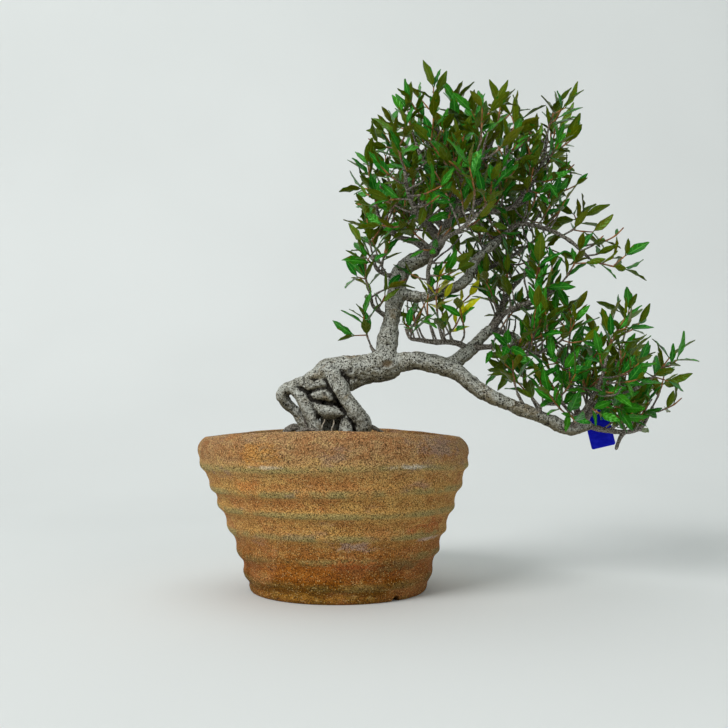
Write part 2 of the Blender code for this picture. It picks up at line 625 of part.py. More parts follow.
class Skin:
    """The one closed surface of a shoot, put together from stems and leaves face by face."""

    def __init__(self):
        self.points = []
        self.faces = []

    def add(self, points):
        self.points.extend(points)
        return list(range(len(self.points) - len(points), len(self.points)))

    def band(self, lower, upper):
        for k in range(len(lower)):
            self.faces.append((lower[k - 1], lower[k], upper[k]))
            self.faces.append((lower[k - 1], upper[k], upper[k - 1]))

    def leaf(self, root, shape):
        """A leaf on a root of three points, the rib's first."""
        points = blade(shape)[0]
        near, far = self.add(points[3:6]), self.add(points[6:9])
        tip = self.add(points[9:])[0]
        self.band(root, near)
        self.band(near, far)
        for k in range(3):
            self.faces.append((far[k - 1], far[k], tip))

    def limb(self, limb, base):
        """A stem from the corners of its base, with all that grows from it."""
        rings = [base] + [self.add(ring) for ring in limb.rings[1:]]
        for run in range(len(rings) - 1):
            for side in range(4):
                a, b = rings[run][side], rings[run][side - 3]
                c, d = rings[run + 1][side - 3], rings[run + 1][side]
                grown = limb.grown.get((run, side))
                if grown is None:
                    self.faces.append((a, b, c, d))
                elif isinstance(grown, Limb):
                    self.limb(grown, [a, b, c, d])
                else:
                    self.faces.append((a, b, c))
                    self.leaf([a, c, d], grown)
        last = rings[-1]
        for corner in (1, 3):
            root = [last[corner], last[(corner + 1) % 4], last[corner - 1]]
            if limb.grown.get(("end", corner)) is None:
                self.faces.append(tuple(root))
            else:
                self.leaf(root, limb.grown["end", corner])


def shoot_solid(shoot):
    """(points, faces) of a whole shoot."""
    skin = Skin()
    base = skin.add(shoot["stem"].rings[0])
    skin.faces.append(tuple(base[::-1]))
    skin.limb(shoot["stem"], base)
    return np.array(skin.points), skin.faces


def rooted(route, boughs):
    """The route with its first point moved to the middle of the nearest bough."""
    route = np.array(route, float)
    near = boughs[np.argmin(np.linalg.norm(boughs[:, :3] - route[0, :3], axis=1))]
    route[0, :3] = near[:3]
    return route


def wood_tubes():
    """The tubes that make the wood: thick ones have more sides."""
    boughs = np.vstack([smooth_route(route, 60) for route in BOUGHS.values()])
    tubes = [tube(smooth_route(route, len(route)), 6) for route in ROOTS.values()]
    for route in BOUGHS.values():
        tubes.append(tube(smooth_route(route, len(route)), 8 if route[0][3] > 3.1 else 6))
    for route, _ in BRANCHES.values():
        branch = smooth_route(rooted(route, boughs), len(route))
        tubes.append(tube(branch, 4))
        boughs = np.vstack((boughs, smooth_route(route, 30)))
    return tubes


def material(name, colour, roughness):
    """A plain surface of one colour."""
    made = bpy.data.materials.new(name)
    made.use_nodes = True
    surface = made.node_tree.nodes["Principled BSDF"]
    surface.inputs["Base Color"].default_value = (*colour, 1.0)
    surface.inputs["Roughness"].default_value = roughness
    return made


def add_object(name, solid, surface):
    """An object from points in millimetres and faces."""
    points, faces = solid
    mesh = bpy.data.meshes.new(name)
    mesh.from_pydata([tuple(p * MM) for p in np.asarray(points) - UP * FOOT_LEVEL], [], faces)
    mesh.materials.append(surface)
    mesh.shade_smooth()
    mesh.set_sharp_from_angle(angle=SHARP_ANGLE)
    made = bpy.data.objects.new(name, mesh)
    bpy.context.scene.collection.objects.link(made)
    return made


def combine(made, others, operation, solver):
    """Joins the others to the object, or cuts them from it, by one Boolean on their collection."""
    group = bpy.data.collections.new(made.name + "_others")
    for other in others:
        group.objects.link(other)
        other.hide_render = True
        other.display_type = "WIRE"
    boolean = made.modifiers.new("combine", "BOOLEAN")
    boolean.operation = operation
    boolean.operand_type = "COLLECTION"
    boolean.collection = group
    boolean.solver = solver
    bpy.context.view_layer.update()
    shaped = bpy.data.meshes.new_from_object(made.evaluated_get(bpy.context.evaluated_depsgraph_get()))
    made.modifiers.clear()
    shaped.shade_smooth()
    shaped.set_sharp_from_angle(angle=SHARP_ANGLE)
    made.data = shaped
    for other in others:
        bpy.data.objects.remove(other)
    bpy.data.collections.remove(group)
    return made


def fused(name, solids, surface):
    """One object from solids that run into each other."""
    made = add_object(name, solids[0], surface)
    others = [add_object(f"{name}_{k}", solid, surface) for k, solid in enumerate(solids[1:])]
    return combine(made, others, "UNION", "MANIFOLD")


def wall_radius(z):
    heights, radii = np.array(WALL_PROFILE).T
    return np.interp(z, heights, radii)


def rim_height(angle):
    """The rim dips at the two sides, and stands highest at the front and, a little more, at the back."""
    return RIM_HEIGHT - RIM_WAVE * np.cos(2 * angle) + RIM_TILT * np.sin(angle)


def ring(radius, z, angle):
    """Points round the pot's axis, which leans a little to one side with height."""
    lean = POT_LEAN * (z / LEAN_HEIGHT) ** 2
    return np.column_stack((radius * np.cos(angle) + lean, radius * np.sin(angle), z))


def turned(rings):
    """(points, faces) of a closed surface from rings that run from the underside up and inside."""
    count = len(rings[0])
    faces = [tuple(range(count))[::-1]]
    for i in range(len(rings) - 1):
        for k in range(count):
            a, b = i * count + k, i * count + (k + 1) % count
            faces.append((a, b, b + count, a + count))
    last = (len(rings) - 1) * count
    faces.append(tuple(range(last, last + count)))
    return np.vstack(rings), faces


def ridge_levels():
    """The heights of crests and hollows by turns: a hollow lies midway above each crest."""
    crests = np.array(CREST_HEIGHTS)
    tops = np.append(crests[1:], crests[-1] + 9.6)
    return np.column_stack((crests, (crests + tops) / 2)).ravel()


def pot_rings():
    """Rings up the ridged outside, over the rounded lip and down the plain inside to the floor."""
    angle = np.arange(POT_SEGMENTS) * 2 * np.pi / POT_SEGMENTS
    rings = []
    foot = np.full(POT_SEGMENTS, wall_radius(FOOT_LEVEL))
    for level in (FOOT_LEVEL, FOOT_LEVEL + FOOT_HEIGHT):
        rings.append(ring(foot, np.full(POT_SEGMENTS, level), angle))
    for half, level in enumerate(ridge_levels()):
        z = level + RIDGE_WAVER * np.sin(angle + 0.9 * half)
        crest = RIDGE_DEPTH if half % 2 == 0 else -RIDGE_DEPTH
        rings.append(ring(wall_radius(z) + crest, z, angle))
    rim = rim_height(angle)
    outer = wall_radius(rim - LIP_ROUND)
    for inward, below in ((0.0, LIP_ROUND), (0.8, 4.2), (2.4, 1.8), (4.4, 0.1), (WALL - 0.3, 1.4)):
        rings.append(ring(outer - inward, rim - below, angle))
    for z in (60.0, 28.0, FLOOR):
        level = np.full(POT_SEGMENTS, z)
        rings.append(ring(wall_radius(level) - WALL, level, angle))
    return rings


def drain_cutters(surface):
    """A round hole through the floor and a groove out to the edge of the foot, at each drain."""
    cutters = []
    for k in range(DRAIN_COUNT):
        angle = DRAIN_FIRST_ANGLE + k * 2 * np.pi / DRAIN_COUNT
        out = np.array((np.cos(angle), np.sin(angle), 0.0))
        middle = out * DRAIN_FROM_MIDDLE
        hole = np.column_stack((np.array((middle - UP * 5, middle + UP * (FLOOR + 5))), (DRAIN_RADIUS,) * 2))
        cutters.append(add_object("drain_cutter", tube(hole, 16), surface))
        corner = GROOVE_WIDTH / 2 * np.sqrt(2)
        height = FOOT_LEVEL + GROOVE_DEPTH - GROOVE_WIDTH / 2
        path = np.array((middle + UP * height, out * (WALL_PROFILE[0][1] + 12) + UP * height))
        groove = tube(np.column_stack((path, (corner, corner))), 4)
        cutters.append(add_object("groove_cutter", groove, surface))
    return cutters


def make_pot(surface):
    pot = add_object("pot", turned(pot_rings()), surface)
    return combine(pot, drain_cutters(surface), "DIFFERENCE", "MANIFOLD")


def soil_height(x, y):
    """The soil's surface: level, heaped round the tree, with low lumps."""
    away = np.hypot(x - TREE_FOOT[0], y - TREE_FOOT[1])
    lumps = 0.35 * np.sin(x * 0.45) * np.sin(y * 0.4 + 1.0)
    return SOIL_EDGE + SOIL_HEAP * np.exp(-((away / SOIL_HEAP_WIDTH) ** 2)) + lumps


def make_soil(surface, root_routes):
    """The soil stands a gap clear of the wall and floor, with a plain hole round each buried root."""
    angle = np.arange(POT_SEGMENTS) * 2 * np.pi / POT_SEGMENTS
    rings = []
    for z in (FLOOR + GAP, 28.0, 60.0):
        level = np.full(POT_SEGMENTS, z)
        rings.append(ring(wall_radius(level) - WALL - GAP * 1.4, level, angle))
    edge = wall_radius(SOIL_EDGE) - WALL - GAP * 4
    for share in np.linspace(1.0, 0.0, SOIL_RINGS, endpoint=False):
        flat = ring(np.full(POT_SEGMENTS, edge * share), np.full(POT_SEGMENTS, SOIL_EDGE), angle)
        flat[:, 2] = soil_height(flat[:, 0], flat[:, 1])
        rings.append(flat)
    soil = add_object("soil", turned(rings), surface)
    cutters = []
    for route in root_routes:
        cutters.append(add_object("root_cutter", tube(route, 6, GAP * 1.6, GAP * 2), surface))
    return combine(soil, cutters, "DIFFERENCE", "MANIFOLD")


def tag_solid():
    """The tag's plate, with cut corners at the top, before its hole."""
    width, thick, height = TAG_SIZE
    cut = 2.0
    outline = (
        (-width / 2, -height), (width / 2, -height), (width / 2, -cut), (width / 2 - cut, 0),
        (cut - width / 2, 0), (-width / 2, -cut),
    )
    front = [(x, -thick / 2, z) for x, z in outline]
    back = [(x, thick / 2, z) for x, z in outline]
    count = len(outline)
    faces = [tuple(range(count)), tuple(range(count, 2 * count))[::-1]]
    faces += [(k, k + count, (k + 1) % count + count, (k + 1) % count) for k in range(count)]
    return np.array(front + back), faces


def loop_bottom():
    """The lowest point of the wire's middle line: the loop hangs on the branch by its top."""
    return LOOP_AT + UP * (LOOP_BRANCH_RADIUS + GAP + LOOP_WIRE - 2 * LOOP_RADIUS)


def placed_tag(solid):
    """The tag turned by its tilt, so that the top edge of its hole rests on the wire."""
    points, faces = solid
    turn = np.array(
        ((np.cos(TAG_TILT), 0, -np.sin(TAG_TILT)), (0, 1, 0), (np.sin(TAG_TILT), 0, np.cos(TAG_TILT)))
    )
    hole = np.array((0, 0, -TAG_HOLE_FROM_TOP))
    rest = loop_bottom() - UP * (TAG_HOLE_RADIUS - LOOP_WIRE - GAP)
    return (points - hole) @ turn.T + rest, faces


def make_tag(surface):
    tag = add_object("tag", placed_tag(tag_solid()), surface)
    hole = np.array([(0, y, -TAG_HOLE_FROM_TOP, TAG_HOLE_RADIUS) for y in (-3, 3)])
    cutter = add_object("tag_cutter", placed_tag(tube(hole, 12)), surface)
    return combine(tag, [cutter], "DIFFERENCE", "MANIFOLD")


def loop_solid():
    """The wire loop: a ring of wire round the branch, square to it."""
    along = unit(np.array((1.0, 0.0, 0.0)))
    middle = loop_bottom() + UP * LOOP_RADIUS
    side = np.cross(UP, along)
    around, wire = 14, 4
    points = []
    for turn in np.arange(around) * 2 * np.pi / around:
        out = side * np.cos(turn) + UP * np.sin(turn)
        for roll in np.arange(wire) * 2 * np.pi / wire:
            reach = LOOP_RADIUS + LOOP_WIRE * np.cos(roll)
            points.append(middle + out * reach + along * LOOP_WIRE * np.sin(roll))
    faces = []
    for i in range(around):
        for k in range(wire):
            a, b = i * wire + k, i * wire + (k + 1) % wire
            c, d = (i + 1) % around * wire + (k + 1) % wire, (i + 1) % around * wire + k
            faces.append((a, d, c, b))
    return np.array(points), faces


def main():
    for old in list(bpy.data.objects):
        bpy.data.objects.remove(old)
    clay = material("clay", (0.42, 0.25, 0.14), 0.9)
    earth = material("soil", (0.12, 0.08, 0.05), 0.95)
    bark = material("bark", (0.40, 0.38, 0.34), 0.85)
    leaf_green = material("leaf", (0.08, 0.22, 0.03), 0.4)
    tag_blue = material("tag", (0.01, 0.02, 0.45), 0.35)
    wire = material("tag_wire", (0.5, 0.5, 0.52), 0.3)

    make_pot(clay)
    make_soil(earth, [smooth_route(ROOTS[name], len(ROOTS[name])) for name in BURIED_ROOTS])
    tubes = wood_tubes()
    fused("trunk_and_branches", tubes, bark)
    make_tag(tag_blue)
    add_object("tag_loop", loop_solid(), wire)

    space = Space()
    for solid in tubes:
        space.add(solid, "wood")
    space.add(placed_tag(tag_solid()), "tag")
    space.add(loop_solid(), "loop")
    shoots = grow_crown(space)
    for shoot in shoots:
        add_object(shoot["name"], shoot_solid(shoot), leaf_green)


main()
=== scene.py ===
"""The finished look of a small dwarf-jasmine bonsai in a ridged, unglazed clay pot.

Each solid of the frame gets a finer piece in its own place. Roots, trunk, branches, shoots and pot
follow the same routes, sizes and random draws as the solids, and thinner sprays of leaves, too fine
for solids, fill the crown. Sizes are millimetres until a mesh is made.
"""

import json

import bpy
import numpy as np
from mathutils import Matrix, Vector
from mathutils.bvhtree import BVHTree

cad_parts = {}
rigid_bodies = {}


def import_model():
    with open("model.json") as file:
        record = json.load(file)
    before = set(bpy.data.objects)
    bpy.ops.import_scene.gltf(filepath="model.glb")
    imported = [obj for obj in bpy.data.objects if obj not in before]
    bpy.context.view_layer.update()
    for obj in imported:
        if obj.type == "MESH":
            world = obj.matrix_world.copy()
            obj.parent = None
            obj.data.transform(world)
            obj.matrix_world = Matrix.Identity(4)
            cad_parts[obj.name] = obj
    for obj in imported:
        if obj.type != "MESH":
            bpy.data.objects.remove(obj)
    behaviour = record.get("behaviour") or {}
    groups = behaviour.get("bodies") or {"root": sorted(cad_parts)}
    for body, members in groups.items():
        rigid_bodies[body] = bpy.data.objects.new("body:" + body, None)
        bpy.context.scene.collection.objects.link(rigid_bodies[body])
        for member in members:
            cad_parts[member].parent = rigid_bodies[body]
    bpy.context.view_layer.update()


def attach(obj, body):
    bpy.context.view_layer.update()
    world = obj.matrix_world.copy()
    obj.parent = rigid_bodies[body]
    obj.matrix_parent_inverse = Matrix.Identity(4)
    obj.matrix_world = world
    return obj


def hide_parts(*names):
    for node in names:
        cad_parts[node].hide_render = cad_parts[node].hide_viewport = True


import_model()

MM = 0.001
UP = np.array((0.0, 0.0, 1.0))
GAP = 0.3
SHARP_ANGLE = np.radians(50.0)

# The camera: it stands low in front of the pot and looks up a little.
CAMERA_AT = (12.6, -450.0, 82.1)
CAMERA_PITCH = np.radians(3.62)
CAMERA_LENS = 44.5

# Heights in all these tables are counted from a level a little below the pot's underside.
FOOT_LEVEL = 2.5

# The pot: a foot, a flared wall with throwing ridges, and a rim that dips at the sides.
WALL_PROFILE = (
    (2.5, 43.0), (5.5, 44.0), (16.0, 46.9), (27.0, 50.8), (50.0, 60.0), (58.0, 63.5), (69.0, 67.0),
    (76.0, 67.4),
)
WALL = 6.0
FLOOR = 8.0
FOOT_HEIGHT = 2.0
CREST_HEIGHTS = (10.4, 21.3, 31.9, 43.2, 52.8, 62.9)
RIDGE_DEPTH = 0.85
RIDGE_WAVER = 0.7
RIM_HEIGHT = 79.0
RIM_WAVE = 1.9
RIM_TILT = 0.35
LIP_ROUND = 7.5
POT_LEAN = -2.6
LEAN_HEIGHT = 75.0
DRAIN_RADIUS = 5.0
DRAIN_FROM_MIDDLE = 21.0
DRAIN_COUNT = 3
DRAIN_FIRST_ANGLE = np.radians(-51.0)
GROOVE_WIDTH = 3.4
GROOVE_DEPTH = 2.0

# The soil, heaped a little round the foot of the tree.
SOIL_EDGE = 70.5
SOIL_HEAP = 5.5
SOIL_HEAP_WIDTH = 24.0
TREE_FOOT = np.array((-4.0, 2.0))

# Roots, as (x, y, z, radius) along each. They end below the soil's surface.
ROOTS = {
    "head": (
        (-3.9, 0, 111.0, 5.8), (-10.4, -1, 106.5, 4.5), (-16.3, -2, 103.8, 3.5), (-22.3, -2, 101.4, 3.1),
        (-26.6, -1, 99.9, 3.1), (-27.9, 0, 96.6, 3.0), (-24.6, 1, 92.4, 2.6), (-21.6, 1, 89.4, 2.5),
        (-19.2, 1, 85.8, 2.4), (-17.6, 1, 82.0, 2.3), (-16.9, 1, 78.0, 2.2), (-16.7, 1, 68.5, 2.0),
    ),
    "front": (
        (-22.5, -3, 100.5, 2.7), (-19.5, -5, 97.8, 3.0), (-16.4, -7, 93.8, 3.1), (-14.2, -8, 89.4, 3.2),
        (-12.0, -9, 84.8, 3.1), (-10.8, -9, 80.0, 2.9), (-10.4, -9, 68.5, 2.3),
    ),
    "shelf": (
        (-18, -5, 103, 2.3), (-14, -6.8, 102, 2.7), (-10, -7.2, 101.8, 2.8), (-6.2, -6, 102.2, 2.6),
        (-3, -3, 103, 2.2),
    ),
    "knot_upper": (
        (-13.4, -4, 96.0, 2.5), (-10.0, -7.5, 97.3, 3.0), (-6.1, -8.5, 97.2, 3.1), (-2.6, -7.5, 95.8, 3.0),
        (0.6, -4, 93.8, 2.6),
    ),
    "knot_lower": (
        (-12.0, -3, 94.2, 2.5), (-10.0, -8, 90.9, 3.0), (-6.1, -9.5, 88.9, 3.3), (-1.6, -9.5, 88.7, 3.3),
        (2.3, -8, 87.9, 3.1), (5.4, -4, 86.4, 2.8),
    ),
    "big": (
        (-4.2, -2, 111.5, 4.8), (-2.2, -5.5, 107.0, 4.8), (0.8, -9, 100.7, 4.2), (4.3, -10, 94.8, 3.8),
        (8.2, -10, 88.9, 3.9), (11.1, -9, 84.5, 3.9), (12.1, -8, 79.0, 3.7), (11.6, -6, 68.5, 3.0),
    ),
    "small": (
        (1.5, -6, 88.0, 2.4), (3.4, -9, 84.6, 2.7), (3.8, -10, 81.4, 3.3), (3.8, -10, 76.0, 3.2),
        (3.8, -9, 68.5, 2.6),
    ),
    "back_left": (
        (-10.6, 4, 106.3, 3.5), (-12.9, 9, 99.4, 3.1), (-14.1, 12, 92.3, 2.8), (-14.7, 14, 85.1, 2.7),
        (-15.2, 15, 77.9, 2.6), (-15.2, 15, 68.5, 2.2),
    ),
    "back_right": (
        (-2.6, 4, 108.3, 4.0), (-0.7, 10, 101.4, 3.4), (1.3, 14, 94.4, 3.1), (3.3, 17, 87.2, 3.0),
        (4.3, 19, 79.9, 2.8), (4.8, 20, 68.5, 2.3),
    ),
    "heel": ((14.5, -1, 107.5, 4.0), (8.5, -2, 105.0, 3.5), (3.0, -3, 102.5, 3.6)),
    "hook": ((-20.3, 1, 100.5, 2.0), (-17.8, 2, 95.5, 2.0), (-15.6, 2, 91.0, 1.8), (-13.5, 2, 88.0, 1.8)),
    "core": (
        (-6.5, 1, 105.2, 4.0), (-5.6, 2, 98.5, 4.8), (-4.6, 2.5, 91.0, 5.4), (-3.6, 3, 83.1, 5.6),
        (-3.0, 4, 68.5, 4.8),
    ),
    "core_right": ((-1.0, -1, 102.0, 3.6), (2.6, 0, 94.0, 3.8), (5.2, 1, 85.0, 3.8), (6.2, 2, 68.5, 3.2)),
}

# The trunk and its boughs: the leaning base, the leader, the falling bough and what they carry.
BOUGHS = {
    "trunk": (
        (-12.5, 2, 102.5, 4.5), (-8.5, 1, 106.2, 6.0), (-3.9, 0, 108.6, 7.2), (4.6, -1, 110, 7.0),
        (13.6, -1, 110.5, 7.2), (21.6, 0, 112.1, 7.5), (28.6, 0, 114.2, 6.0),
    ),
    "leader": (
        (23.0, 0, 113.1, 5.0), (24.1, 0, 120.1, 4.8), (24.7, 0, 126.2, 4.6), (26.6, 0, 137.8, 4.2),
        (28.7, 0, 147.4, 4.6), (30.2, 0, 157, 4.3), (34.8, 0, 163.1, 3.9), (42.4, 0, 167.2, 3.5),
        (49, 0, 172.8, 3.2), (52.5, 0, 179, 3.0), (57.2, 1, 186.9, 2.7), (62.5, 2, 193.8, 2.2),
        (66.8, 4, 202.6, 1.7),
    ),
    "fall": (
        (26.6, 0, 113.6, 5.5), (32.6, -1, 114, 4.8), (38.5, -2, 114.5, 4.5), (45.4, -3, 113.4, 4.3),
        (51.8, -4, 111.4, 4.3), (59.1, -5, 108.3, 3.8), (67.9, -6, 100.9, 3.6), (77.2, -6, 95.7, 3.3),
        (86.2, -5, 92, 3.2), (95.9, -3, 88.3, 3.2), (105.2, -1, 84.8, 3.1), (114.3, 0, 81.1, 3.2),
        (120.3, 0, 81.6, 2.8), (125.4, 0, 83.1, 2.1),
    ),
    "middle": (
        (53.4, -3, 111.9, 3.2), (59.6, -1, 115, 3.1), (63.9, 1, 118.7, 2.9), (67.6, 3, 121.9, 2.7),
        (71.3, 4, 126, 2.5), (75, 5, 129.7, 2.4), (78.8, 6, 131.8, 2.2),
    ),
    "elbow": (
        (29.7, 0, 149.4, 3.0), (36.7, -2, 147.1, 2.6), (42.5, -4, 146.3, 2.3), (48.9, -5, 147.7, 2.3),
        (56, -4, 150.4, 2.3), (61.7, -3, 153.5, 2.2), (65.4, -1, 157.4, 2.1), (67.2, 1, 162.8, 2.0),
        (70.9, 2, 167.6, 1.9), (75.6, 3, 171.9, 1.8), (81.4, 4, 176.2, 1.6),
    ),
}

# The branches that carry shoots: the route, and how many shoots each one carries.
BRANCHES = {
    "low_left": (
        ((45.9, 0, 170.8, 2.0), (37.6, -4, 174.1, 1.7), (30, -8, 175.8, 1.4), (24, -10, 179.4, 1.2),
         (20, -11, 185, 1.0), (18.5, -11, 192, 0.8)), 2,
    ),
    "mid_left": (
        ((54.1, 0, 182, 2.0), (46.8, 4, 188.6, 1.6), (39.4, 8, 191.6, 1.3), (33, 11, 193, 1.2),
         (28.5, 12, 198, 1.0), (27.0, 12, 205, 0.8)), 1,
    ),
    "up_left": (
        ((57.1, 0, 187.2, 2.0), (53.7, -5, 193.6, 1.6), (47.3, -10, 201.4, 1.3), (42.2, -13, 211.2, 1.1),
         (38.2, -14, 221.4, 0.8)), 2,
    ),
    "up_front": (((60, 1.5, 190.3, 1.8), (55.5, -2, 203, 1.4), (51.5, -4, 217, 1.2), (50, -5, 232, 0.8)), 2),
    "crest": (((66.8, 4, 202.6, 1.7), (70, 6, 213, 1.3), (76, 6, 222, 1.1), (80, 5, 232, 0.8)), 2),
    "up_mid": (
        ((63, 2, 193.8, 2.0), (66.3, 8, 205.7, 1.5), (66.1, 14, 220.1, 1.3), (63.3, 17, 233.8, 0.9)), 2,
    ),
    "up_right": (
        ((60.3, 1, 190.5, 2.0), (70, -3, 194.1, 1.6), (77.9, -8, 200.5, 1.3), (82.3, -12, 209.4, 1.1),
         (83.3, -13, 220.2, 0.8)), 2,
    ),
    "long_right": (
        ((56.1, 0, 185.1, 2.0), (68.5, 2, 189.2, 1.7), (80.6, 4, 191.7, 1.5), (90.6, 6, 194.8, 1.3),
         (100.1, 7, 201.3, 1.1), (105.5, 7, 210.7, 0.9), (108, 7, 221.2, 0.8)), 3,
    ),
    "front_left": (
        ((49.8, -2, 175.5, 1.8), (44, -14, 179, 1.5), (37.4, -26, 184.1, 1.2), (33.2, -34, 191.7, 1.0),
         (31.7, -38, 200.1, 0.8)), 2,
    ),
    "front_mid": (
        ((54.3, -3, 182.4, 1.8), (55.6, -16, 186.5, 1.5), (59.2, -28, 191.4, 1.2), (63, -36, 198.8, 1.0),
         (64.7, -38, 207.7, 0.8)), 2,
    ),
    "front_low": (
        ((43.3, -2, 167.4, 1.7), (45.9, -14, 169.1, 1.4), (51.7, -26, 171.6, 1.1), (58.4, -34, 174.7, 0.9),
         (65.4, -38, 180.4, 0.8)), 1,
    ),
    "back_left": (
        ((51.2, 2, 177.3, 1.8), (46.1, 16, 188.7, 1.6), (39.5, 28, 202.3, 1.4), (34.4, 34, 215.9, 1.1),
         (31.3, 36, 227.6, 0.9)), 2,
    ),
    "back_mid": (
        ((59, 3, 189.4, 1.8), (68.5, 18, 201.9, 1.6), (78.6, 30, 213.7, 1.4), (84.6, 35, 224, 1.1),
         (86, 36, 232, 0.9)), 2,
    ),
    "back_low": (
        ((69.5, 3, 165.2, 1.7), (77.5, 16, 174.9, 1.5), (86.7, 27, 187, 1.3), (94, 31, 195.1, 1.1),
         (98, 32, 204, 0.9)), 1,
    ),
    "far_right": (
        ((79.9, 4, 175.2, 1.6), (86.2, 5, 181.6, 1.4), (93.4, 5, 185.2, 1.3), (103.7, 3, 182.7, 1.2),
         (110.7, 0, 179, 1.1), (117, -2, 174.5, 1.0), (122, -4, 169, 0.9), (125, -5, 165.5, 0.8)), 2,
    ),
    "rear_rise": (
        ((66.2, 1, 160.8, 1.5), (73.7, 12, 161.6, 1.3), (84.3, 20, 168.2, 1.2), (96.7, 24, 175.4, 1.0),
         (106.7, 26, 183.3, 0.8)), 2,
    ),
    "stub": (
        ((46.5, -5, 147.7, 1.8), (45.3, -8, 152.3, 1.5), (44, -12, 157.6, 1.2), (45.7, -16, 163.8, 0.9)), 0,
    ),
    "middle_rise": (
        ((77.7, 6, 130.8, 2.0), (83.6, 4, 138.8, 1.6), (91.1, 0, 142.3, 1.4), (100.4, -4, 145.3, 1.2),
         (108.5, -6, 150.6, 0.9)), 2,
    ),
    "middle_fork": (
        ((77.7, 6, 130.3, 2.0), (85.3, 9, 129.6, 1.6), (91.4, 12, 127.8, 1.4), (96.2, 13, 122.2, 1.2),
         (103.2, 12, 117.5, 0.9)), 2,
    ),
    "middle_back": (
        ((76.7, 6, 130.3, 1.8), (82.1, 14, 140, 1.6), (88.6, 22, 151.5, 1.4), (96, 27, 160.1, 1.2),
         (102, 28, 168, 0.9)), 2,
    ),
    "under_right": (
        ((68, 2, 120.3, 1.8), (74.5, -2, 121.5, 1.5), (81.4, -6, 120.7, 1.3), (88.1, -10, 117.9, 1.1),
         (95.2, -14, 117.1, 1.0), (103.1, -18, 119.7, 0.8)), 2,
    ),
    "inner_left": (
        ((66, 2, 119.3, 1.9), (60.2, -1, 123.1, 1.6), (53.9, -4, 123.8, 1.5), (47.3, -6, 123.6, 1.4),
         (40.3, -7, 124.5, 1.2), (35.3, -8, 125.4, 1.0), (33.4, -8, 130.0, 0.8)), 0,
    ),
    "tip_rise": (
        ((118.3, 0, 81.6, 1.9), (118.2, -3, 89.1, 1.6), (116.9, -5, 95.9, 1.4), (113.6, -7, 104.3, 1.3),
         (111.5, -8, 113.6, 1.1), (113.6, -8, 122.5, 0.8)), 2,
    ),
    "tip_right": (
        ((122.3, 0, 82.1, 1.9), (124.4, -6, 89.5, 1.6), (129.2, -9, 94.4, 1.4), (135, -11, 97.3, 1.2),
         (142, -12, 98.8, 1.0), (148, -13, 102.5, 0.8)), 2,
    ),
    "tip_low": (
        ((124.1, 1, 82.6, 1.7), (133.3, 4, 80.1, 1.5), (144.3, 7, 79, 1.2), (152.5, 9, 80.4, 1.1),
         (157, 10, 85.6, 0.9), (160, 10, 92, 0.8)), 2,
    ),
    "tip_back": (
        ((121.6, 1, 82.6, 1.7), (125.8, 9, 90.5, 1.5), (131.5, 13, 94.2, 1.3), (137, 17, 98.6, 1.2),
         (143, 20, 112, 1.0), (148, 21, 124, 0.8)), 1,
    ),
    "tip_front": (
        ((116.1, -1, 81.6, 1.7), (118.5, -12, 88, 1.4), (121.5, -20, 95.6, 1.1), (124.6, -25, 103.9, 1.0),
         (126.6, -27, 113.3, 0.8)), 1,
    ),
    "side_twig": (
        ((100.2, -4, 88.1, 1.2), (99.9, -8, 92.4, 1.0), (106.7, -11, 92.9, 0.9), (113.1, -13, 94.8, 0.8)), 1,
    ),
    "heart_left": (
        ((28.2, 0, 157.6, 1.5), (22.5, -3, 158.1, 1.1), (18.6, -5, 161, 1.0), (17, -6, 166.5, 0.8)), 1,
    ),
    "left_bough": (
        ((25.2, 0, 136.3, 1.6), (20.5, -2, 139, 1.2), (17, -4, 142, 1.0), (15.5, -5, 147.5, 0.8)), 1,
    ),
    "right_rise": (
        ((90.6, 6, 194.8, 1.3), (97, 0, 204, 1.2), (102.5, -5, 215, 1.0), (104, -8, 226, 0.8)), 2,
    ),
    "bright_twig": (((52.0, -4.5, 124.0, 1.3), (50.5, -6, 129, 0.9), (49.5, -7, 132.5, 0.8)), 1),
    "spur": (((143.7, 7, 79.0, 1.2), (141.5, 6, 75, 1.0), (139.6, 5, 70.5, 0.8)), 0),
    "neck_twig": (((20.0, 0, 115.5, 1.3), (17.5, -2, 119.5, 0.9), (16.0, -3, 122, 0.8)), 1),
    "drop_left": (((93.5, -3, 89.0, 1.3), (90.6, -6, 93.5, 0.9), (88.0, -8, 98, 0.8)), 1),
    "drop_right": (((102.5, -2, 85.5, 1.3), (99.5, 3, 91.5, 0.9), (97.5, 5, 96, 0.8)), 1),
}

# The middle of each mass of leaves. A shoot turns away from the one it is nearest to.
LEAF_MASSES = np.array(
    (
        (62.0, 0.0, 185.0), (24.0, 0.0, 145.0), (45.0, 0.0, 105.0), (96.0, 4.0, 150.0), (118.0, 0.0, 102.0),
        (95.0, 0.0, 82.0),
    )
)

# Shoots and leaves.
SEED = 3
SHOOT_LENGTH = (12.0, 19.0)
SHOOT_RADIUS = (0.85, 0.55)
NODE_RUN = 1.5
TWIG_LENGTH = (4.5, 9.5)
TWIG_WITH_PAIR = 8.2
TWIG_RADIUS = (0.65, 0.5)
LEAF_LENGTH = (9.5, 16.0)
LEAF_WIDTH_SHARE = (0.27, 0.38)
LEAF_THICKNESS = 0.7
LEAF_STATIONS = ((0.36, 1.0), (0.70, 0.74))
END_OPENING, STEM_OPENING, TWIG_OPENING = 36, 50, 52
CLEAR_OF_STEM = 0.3
CLEAR_OF_LEAF = 0.06
TRIES = 9

# Boughs that the front view shows bare, as shares of their length, and where that view is from.
SHOWN_BARE = {"leader": (0.10, 0.80), "elbow": (0.0, 0.72), "middle": (0.1, 0.9)}
FRONT_VIEW = np.array((12.6, -450.0, 84.6))
OPENING_DEPTH = 0.14

